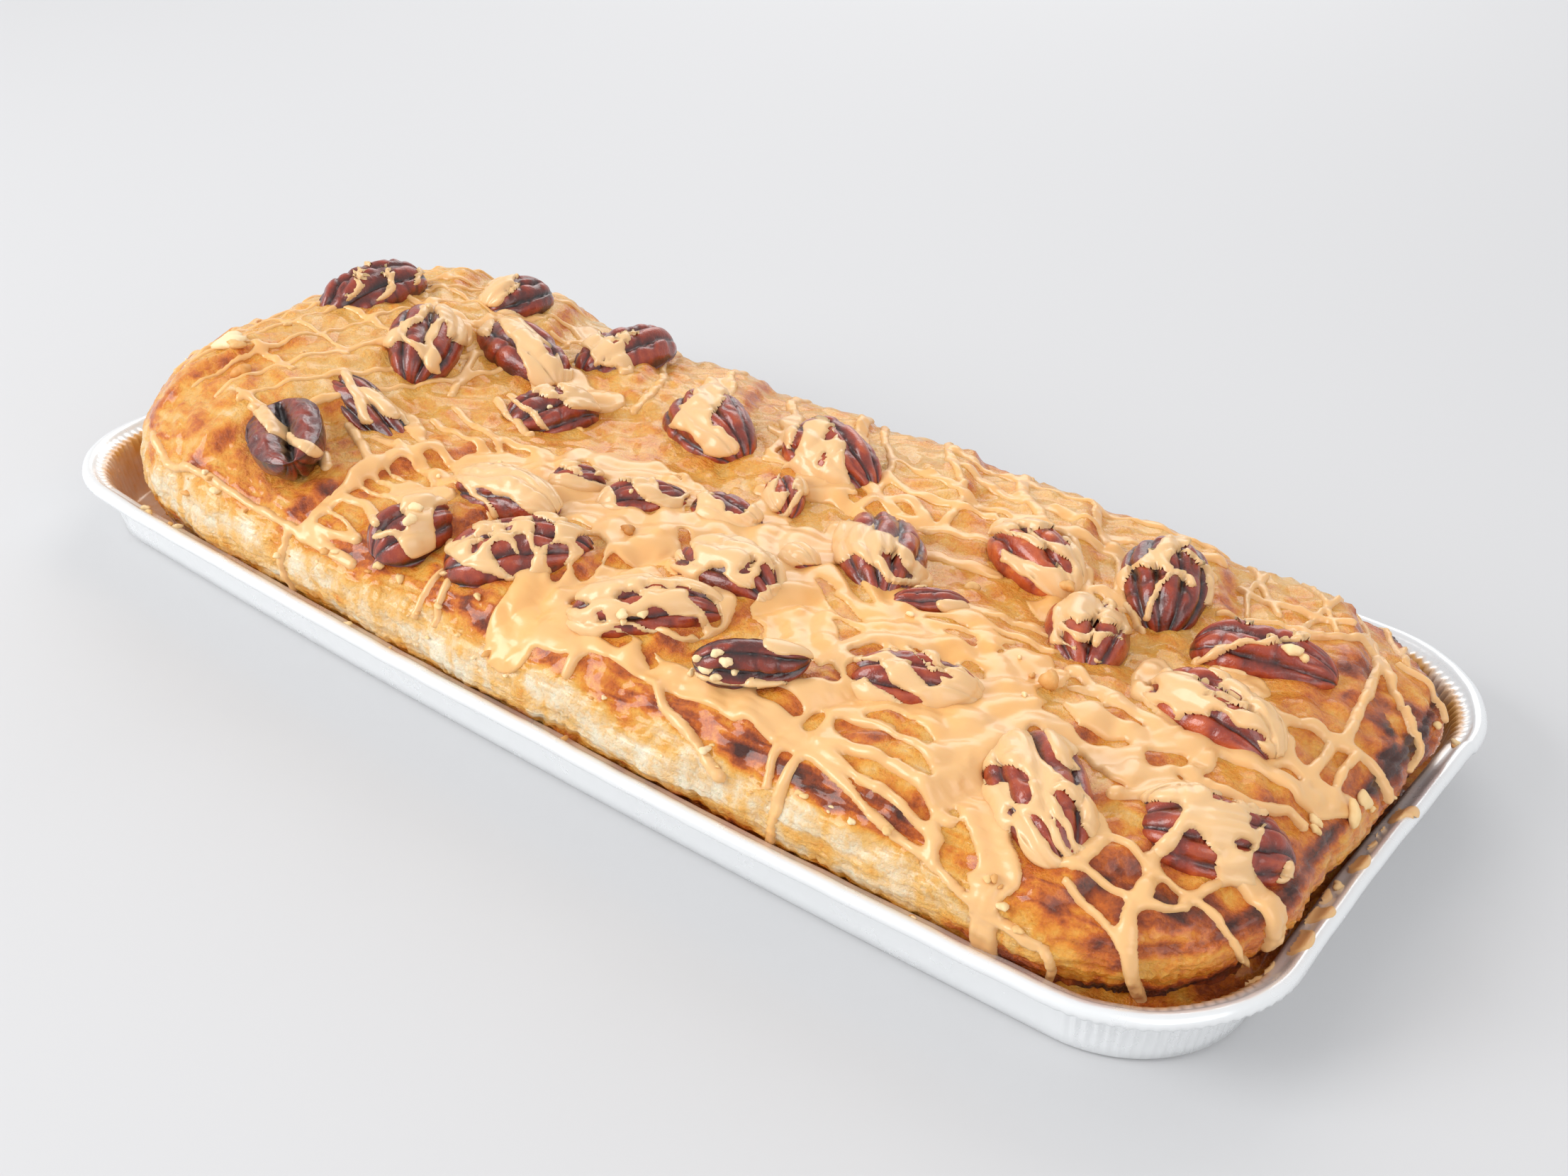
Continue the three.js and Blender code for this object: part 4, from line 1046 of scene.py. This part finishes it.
def make_drips(material, tree):
    """Flat uneven puddles of icing that follow the foil they lie on."""
    draw = np.random.default_rng(DRIP_SEED)
    rows, around = 9, 36
    turn = np.linspace(0, 2 * math.pi, around, endpoint=False)
    reach = np.linspace(0.02, 1, rows)[:, None]
    thick = 0.9 * np.sqrt(np.clip(1 - reach ** 2.5, 0, 1)) + 0 * turn
    thick[-1] = -0.2
    quads = grid_faces(rows, around, wrap_b=True)
    puddles = []
    for x, y, size in DRIPS:
        shape = 1 + wobble(draw, turn, 0.25, 0.15)
        px, py = x + np.cos(turn) * shape * size * reach * 0.8, y + np.sin(turn) * shape * size * reach
        plan = np.stack([px, py], -1).reshape(-1, 2)
        hits = [tree.ray_cast(Vector((*place, 60)), Vector((0, 0, -1)))[0] for place in plan]
        under = np.array([DRIP_LOWEST if hit is None else max(hit.z, DRIP_LOWEST) for hit in hits])
        under_quads = under[quads]
        flat_enough = (np.ptp(under_quads, axis=1) < 1.3) & (under_quads.max(axis=1) < DRIP_HIGHEST)
        puddles.append((np.column_stack([plan, under + thick.ravel()]), quads[flat_enough]))
    points, faces = merged(puddles)
    used, faces = renumbered(faces)
    values = {"clear": np.zeros(len(used)), "over_nut": np.full(len(used), 0.4)}
    return make_object("icing_drips", inside_box(points[used]), faces, material, values=values)


def make_crumbs(material, places):
    """One mesh of many lumps. Each place is a point, its upward direction, size, height and tone."""
    draw = np.random.default_rng(CRUMB_SHAPE_SEED)
    lumps, tones = [], []
    for place, up, size, height, tone in places:
        points, faces = lump(draw, size, height)
        spin = Matrix.Rotation(draw.uniform(0, 2 * math.pi), 3, "Z")
        turned = np.array(Vector(up).to_track_quat("Z", "Y").to_matrix() @ spin)
        lumps.append((points @ turned.T + place, faces))
        tones.append(np.full(len(points), tone))
    points, faces = merged(lumps)
    values = {"tone": np.concatenate(tones)}
    return make_object("pastry_crumbs", inside_box(points), faces, material, values=values)


def crumb_places(surface_tree):
    """Places for the crumbs on the loaf and on the ledge inside the rim."""
    draw = np.random.default_rng(CRUMB_PLACE_SEED)
    camera = Vector(CAMERA_PLACE)
    places = []

    def rest(point, up, size, height, tone):
        hit = surface_tree.ray_cast(Vector(point) + Vector(up) * 25, -Vector(up), 60)
        if hit[0] is not None:
            places.append((np.array(hit[0]) + np.array(up) * height * 0.55, up, size, height, tone))

    for a, b, size, height, tone in LOOSE_BITS:
        hit = surface_tree.ray_cast(camera, Vector(skin_point(a, b)) - camera)
        up = skin_normal(a, b)
        places.append((np.array(hit[0]) + up * height * 0.4, up, size, height, tone))
    for _ in range(CRUMBS_ON_LOAF):
        a, b = draw.uniform(-140, 150), max(-abs(draw.normal(0, 34)), -66)
        rest(skin_point(a, b), skin_normal(a, b), draw.uniform(0.4, 0.8), 0.5, draw.uniform(0, 0.6))
    for _ in range(CRUMBS_ON_RIM):
        on_long_side = draw.random() < 0.75
        reach = draw.uniform(3.2, 6.4)
        if on_long_side:
            x, y = draw.uniform(-125, 128), reach - TRAY_WIDTH / 2
        else:
            x, y = (TRAY_LENGTH / 2 - reach) * draw.choice([-1, 1]), draw.uniform(-40, 40)
        size = draw.uniform(0.35, 1.2)
        rest((*bow(x, y), 16.0), (0, 0, 1), size, size * 0.5, draw.uniform(0, 0.75))
    return places


# The foil tray, and the syrup between it and the loaf

PLEAT_PITCH = 2.3  # length of one pleat round a corner of the tray
SYRUP_LEVEL = 12.2  # height that the baked-on syrup comes up to


def rounded_rectangle(core_x, core_y, arc_count, step):
    """Rows of places round a core rectangle, their outward directions and how far into a corner each is."""
    corners = [(1, 1), (-1, 1), (-1, -1), (1, -1)]
    arc = np.linspace(0, 1, arc_count, endpoint=False)
    parts = []
    for index, (sign_x, sign_y) in enumerate(corners):
        next_x, next_y = corners[(index + 1) % 4]
        run = 2 * (core_y if next_x == sign_x else core_x)
        side = np.linspace(0, 1, int(run / step), endpoint=False)
        angle = (index + np.append(arc, side * 0 + 1)) * math.pi / 2
        along = np.append(arc * 0, side)
        x = (sign_x + (next_x - sign_x) * along) * core_x
        y = (sign_y + (next_y - sign_y) * along) * core_y
        corner_share = np.append(np.minimum(arc, 1 - arc) * 2, side * 0)
        parts.append(np.stack([x, y, np.cos(angle), np.sin(angle), corner_share]))
    return np.hstack(parts)


def tray_section():
    """Inset and height along the foil's section, from the underside round the rim to the floor inside."""
    bead = np.linspace(-0.6 * math.pi, 0.85 * math.pi, 14)
    bead_points = [(1.55 - 1.5 * math.cos(turn), 14.85 + 1.5 * math.sin(turn)) for turn in bead]
    wall_out = [(9.4, 0.02), (8.3, 0.12), (7.5, 0.9), (7.0, 3.5), (6.4, 7.0), (5.8, 10.5), (5.3, 13.2)]
    under_rim = [(4.6, 13.9), (3.4, 14.0), (2.6, 13.7)]
    flange = [(3.4, 15.0), (4.2, 14.5), (4.8, 14.5)]
    wall_in = [(5.5, 13.9), (6.0, 12.8), (6.6, 9.8), (7.2, 6.3), (7.9, 2.6), (8.6, 1.0)]
    floor = [(9.6, 0.65), (16.0, 0.62)]
    return np.array([(16.0, 0.0)] + wall_out + under_rim + bead_points + flange + wall_in + floor)


def make_tray(material):
    """The foil tray: its section led round the rim, with pleats in the corners."""
    radius, step = TRAY_CORNER_RADIUS, 0.55
    half_core = TRAY_LENGTH / 2 - radius, TRAY_WIDTH / 2 - radius
    x, y, out_x, out_y, corner_share = rounded_rectangle(*half_core, int(radius * math.pi / 2 / step), step)
    inset, height = tray_section().T[:, :, None]
    run = np.append(0, np.cumsum(np.hypot(np.diff(x + out_x * radius), np.diff(y + out_y * radius))))
    pleat = np.sin(run * 2 * math.pi / PLEAT_PITCH + 1.6 * noise_a(run / 5, run * 0))
    strength = ramp(0.0, 0.25, corner_share)
    wall_share = ramp(1.5, 6, height) * ramp(15.0, 13.0, height)
    on_flange = (inset > 3.1) & (inset < 6.1) & (height > 12)
    ripple = noise_b.layered(run / 18, run * 0, 3)
    radial = 0.3 * pleat * strength * (wall_share + 0.6 * on_flange) + 0.35 * ripple * ramp(2, 14, height)
    lift = 0.24 * pleat * strength * on_flange
    lift = lift + 0.16 * noise_c.layered(run / 9, run * 0, 3) * (height > 12)
    reach = radius - inset + np.minimum(radial, inset)
    px, py = bow(x + out_x * reach, y + out_y * reach)
    points = np.stack([px, py, np.clip(height + lift, 0, TRAY_HEIGHT)], -1)
    rows, count = px.shape
    inner = ramp(3.6, 5.2, inset) * (np.arange(rows) > rows - 12)[:, None]
    stain = inner * (0.45 + 0.55 * strength)
    flat, faces = inside_box(points.reshape(-1, 3)), grid_faces(rows, count, wrap_b=True)[:, ::-1]
    piece = make_object("foil_tray_shell", flat, faces, material, values={"stain": stain})
    close_tray_floor(piece, count, rows)
    return piece


def close_tray_floor(piece, count, rows):
    """Fills the middle of the tray's floor, above and below."""
    work = bmesh.new()
    work.from_mesh(piece.data)
    work.verts.ensure_lookup_table()
    for first in (0, (rows - 1) * count):
        work.faces.new([work.verts[first + index] for index in range(count)])
    bmesh.ops.recalc_face_normals(work, faces=work.faces)
    work.to_mesh(piece.data)
    work.free()


def make_syrup(material, tray_tree):
    """Baked-on syrup that fills the gap between the loaf's foot and the foil, near side and right end."""
    reach = PASTRY_CORNER_RADIUS - 4.5
    share = np.linspace(0, 1, 9)
    strips, kept = [], []
    for x, y, out_x, out_y, _ in rounded_rectangle(CORE_X, CORE_Y, 39, 1.2).T:
        inner_x, inner_y = bow(*shrunk_plan(x + out_x * reach, y + out_y * reach))
        hit = tray_tree.ray_cast(Vector((inner_x, inner_y, SYRUP_LEVEL + 0.4)), Vector((out_x, out_y, 0)))
        left_out = max(ramp(-85, -115, inner_x), ramp(12, 48, inner_y))
        kept.append(left_out < 0.98)
        gap = (hit[3] if hit[0] is not None else 2.0) + 0.35 - 2.2 * left_out
        px, py = inner_x + out_x * gap * share, inner_y + out_y * gap * share
        lumps = 1.5 * noise_a.layered(px / 4, py / 4, 3) + 0.7 * noise_b.layered(px / 1.3, py / 1.3, 2)
        sag = 1.2 * np.sin(math.pi * share)
        height = SYRUP_LEVEL - 10 * left_out + (1 - left_out) * (lumps - sag)
        strips.append(np.stack([px, py, height], -1))
    strips = np.array(strips + strips[:1])
    both_kept = np.array(kept) & np.roll(kept, -1)
    used, quads = renumbered(grid_faces(*strips.shape[:2])[np.repeat(both_kept, len(share) - 1)])
    points = strips.reshape(-1, 3)[used]
    bake = 0.62 + 0.3 * noise_c.layered(points[:, 0] / 6, points[:, 1] / 6, 3)
    return make_object("baked_syrup", inside_box(points), quads[:, ::-1], material, values={"bake": bake})


# Camera, light and floor

IMAGE_WIDTH = 2212
FOCAL_PIXELS = 2427
SENSOR_WIDTH = 36.0
CAMERA_AZIMUTH, CAMERA_ELEVATION, CAMERA_ROLL = 36.98, 30.2, 2.47
ROOM_COLOUR, ROOM_BRIGHTNESS = (0.98, 0.985, 1.0, 1.0), 0.78
FLOOR_HALF_WIDTH = 6000

# The lights: name, place and aim in metres, size, power
LIGHTS = [
    ("window", (-0.55, 1.0, 0.8), (0, 0, 0.02), 0.9, 5.5),
    ("key", (-0.7, -0.9, 0.6), (0, 0, 0.02), 0.7, 11),
    ("fill", (0.9, -0.4, 0.55), (0.1, 0, 0.02), 0.7, 2.8),
]


def make_camera():
    azimuth, elevation, roll = (math.radians(v) for v in (CAMERA_AZIMUTH, CAMERA_ELEVATION, CAMERA_ROLL))
    level = math.cos(elevation)
    back = Vector((math.sin(azimuth) * level, -math.cos(azimuth) * level, math.sin(elevation)))
    level_right = Vector((math.cos(azimuth), math.sin(azimuth), 0))
    level_up = back.cross(level_right)
    right = level_right * math.cos(roll) + level_up * math.sin(roll)
    up = level_up * math.cos(roll) - level_right * math.sin(roll)
    data = bpy.data.cameras.new("camera")
    data.sensor_width = SENSOR_WIDTH
    data.lens = FOCAL_PIXELS / IMAGE_WIDTH * SENSOR_WIDTH
    data.clip_start = 0.01
    camera = bpy.data.objects.new("camera", data)
    bpy.context.scene.collection.objects.link(camera)
    pose = Matrix((right, up, back)).transposed().to_4x4()
    pose.translation = Vector(CAMERA_PLACE) * MM
    camera.matrix_world = pose
    bpy.context.scene.camera = camera


def area_light(name, place, aim, size, power):
    data = bpy.data.lights.new(name, "AREA")
    data.energy, data.size = power, size
    lamp = bpy.data.objects.new(name, data)
    bpy.context.scene.collection.objects.link(lamp)
    lamp.location = place
    lamp.rotation_euler = (Vector(aim) - Vector(place)).to_track_quat("-Z", "Y").to_euler()


def make_stage():
    world = bpy.data.worlds.new("soft_room")
    world.use_nodes = True
    background = world.node_tree.nodes["Background"]
    background.inputs["Color"].default_value = ROOM_COLOUR
    background.inputs["Strength"].default_value = ROOM_BRIGHTNESS
    bpy.context.scene.world = world
    bpy.context.scene.view_settings.view_transform = "Standard"
    for light in LIGHTS:
        area_light(*light)
    corners = [(-1, -1, 0), (1, -1, 0), (1, 1, 0), (-1, 1, 0)]
    points = np.array(corners) * FLOOR_HALF_WIDTH
    floor = make_object("pale_floor", points, [[0, 1, 2, 3]], floor_material(), smooth=False)


def tree_of(pieces):
    """A search tree over the surfaces of several objects, in millimetres."""
    points, faces, count = [], [], 0
    for piece in pieces:
        points += [vertex.co / MM for vertex in piece.data.vertices]
        faces += [[index + count for index in face.vertices] for face in piece.data.polygons]
        count = len(points)
    return BVHTree.FromPolygons(points, faces)


make_camera()
make_stage()

nut_look, foil_look = nut_material(), foil_material()
crust_look, icing_look = crust_material(), icing_material()

pastry = make_pastry(crust_look)
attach(pastry, "root")
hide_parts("pastry")

nut_meshes = nut_pieces()
halves = []
for number, (nut_points, nut_faces, nut_values) in enumerate(nut_meshes, start=1):
    half = make_object(f"pecan_half_{number:02d}", nut_points, nut_faces, nut_look, values=nut_values)
    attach(half, "root")
    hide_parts(f"pecan_{number:02d}")
    halves.append(half)

icing = make_icing(icing_look)
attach(icing, "root")

nut_icing = make_nut_icing(icing_look, nut_meshes)
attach(nut_icing, "root")

tray = make_tray(foil_look)
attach(tray, "root")
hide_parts("foil_tray")

syrup = make_syrup(crust_look, tree_of([tray]))
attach(syrup, "root")

drips = make_drips(icing_look, tree_of([tray, syrup, pastry]))
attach(drips, "root")

surfaces = tree_of([pastry, icing, nut_icing, tray, syrup] + halves)
crumbs = make_crumbs(crumb_material(), crumb_places(surfaces))
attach(crumbs, "root")
